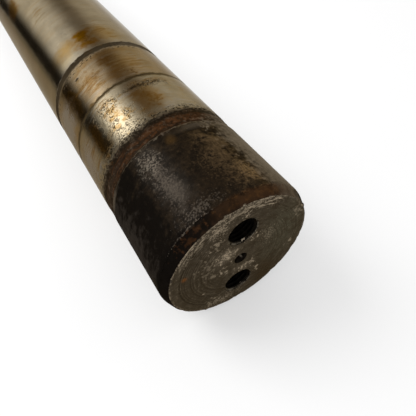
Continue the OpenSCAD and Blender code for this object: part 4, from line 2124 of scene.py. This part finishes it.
    def floor_finish(self) -> bpy.types.Material:
        """Pale matt floor that the camera and the metal see nearly white, with a lighter shadow.

        Returns:
            The floor's material.
        """
        material = self.matt("pale_floor", self.floor_colour)
        wiring = Wiring(material.node_tree)
        shader = material.node_tree.nodes["Principled BSDF"]
        seen = wiring.seen_by("Is Camera Ray", "Is Glossy Ray", "Is Transmission Ray")
        lit = tuple(level * (1 - self.floor_glow) for level in self.floor_colour)
        wiring.plug(shader.inputs["Base Color"], wiring.mix(seen, self.floor_colour, lit))
        wiring.plug(shader.inputs["Emission Color"], rgba(self.floor_colour))
        wiring.plug(shader.inputs["Emission Strength"], seen * self.floor_glow)
        return material

    def surroundings(self) -> None:
        """Makes the pale surroundings; metal sees a darker strip in them, overhead along the pin."""
        world = bpy.data.worlds.new("pale_surroundings")
        world.use_nodes = True
        world.node_tree.nodes.clear()
        wiring = Wiring(world.node_tree)
        mirrored = wiring.seen_by("Is Glossy Ray", "Is Transmission Ray")
        right, _, above = wiring.separate(wiring.field("ShaderNodeTexCoord", "Generated"))
        lean = abs(wiring.math("ARCTAN2", right, above) * math.degrees(1) - self.overhead_lean)
        faded = self.overhead_half + self.overhead_fade
        ceiling = wiring.ramp(lean, self.overhead_half, faded, self.overhead_level, self.side_level)
        strength = wiring.blend(wiring.seen_by("Is Camera Ray"), self.surround_light, self.surround_seen)
        strength = wiring.blend(mirrored, strength, ceiling)
        under = wiring.ramp(lean, faded, self.overhead_half)
        colour = wiring.mix(mirrored * under, self.surround_colour, self.overhead_tint)
        glow = wiring.field("ShaderNodeBackground", 0, {"Color": colour, "Strength": strength})
        wiring.node("ShaderNodeOutputWorld", {"Surface": glow})
        bpy.context.scene.world = world

    def key_light(self) -> None:
        """Hangs the soft lamp that gives the shadows, over the window's side."""
        data = bpy.data.lights.new("key_light", "AREA")
        data.size = self.key_size
        data.energy = self.key_power
        lamp = put_in_scene(bpy.data.objects.new("key_light", data))
        lamp.location = self.key_place
        aim = Vector((0, 0, self.unit)) - Vector(self.key_place)
        lamp.rotation_euler = aim.to_track_quat("-Z", "Y").to_euler()
        lamp.visible_glossy = False
        lamp.visible_camera = False

    def build(self) -> None:
        """Sets up the whole studio."""
        self.floor()
        self.surroundings()
        window = rectangle(self.window_left, self.window_right, self.window_bottom, self.window_top)
        glow = self.window_glow()
        self.only_in_metal(self.sheet("window", self.upright(window, self.window_at), glow))
        card = rectangle(self.card_left, self.card_right, self.card_bottom, self.card_top)
        black = self.card_finish()
        self.only_in_metal(self.sheet("dark_card", self.upright(card, self.card_at), black))
        self.grey_mat()
        self.key_light()
        bpy.context.scene.view_settings.view_transform = "Standard"
        LOG.info("studio: floor, surroundings, window, card, mat and key light")


def main() -> None:
    """Builds the camera, the studio and the pin."""
    logging.basicConfig(level=logging.INFO, format="%(name)s %(message)s")
    sizes = PinSizes.from_record(frame["record"])
    PhotoCamera().build()
    Studio(sizes).build()
    WornPin(sizes).build()


if __name__ == "__main__":
    main()
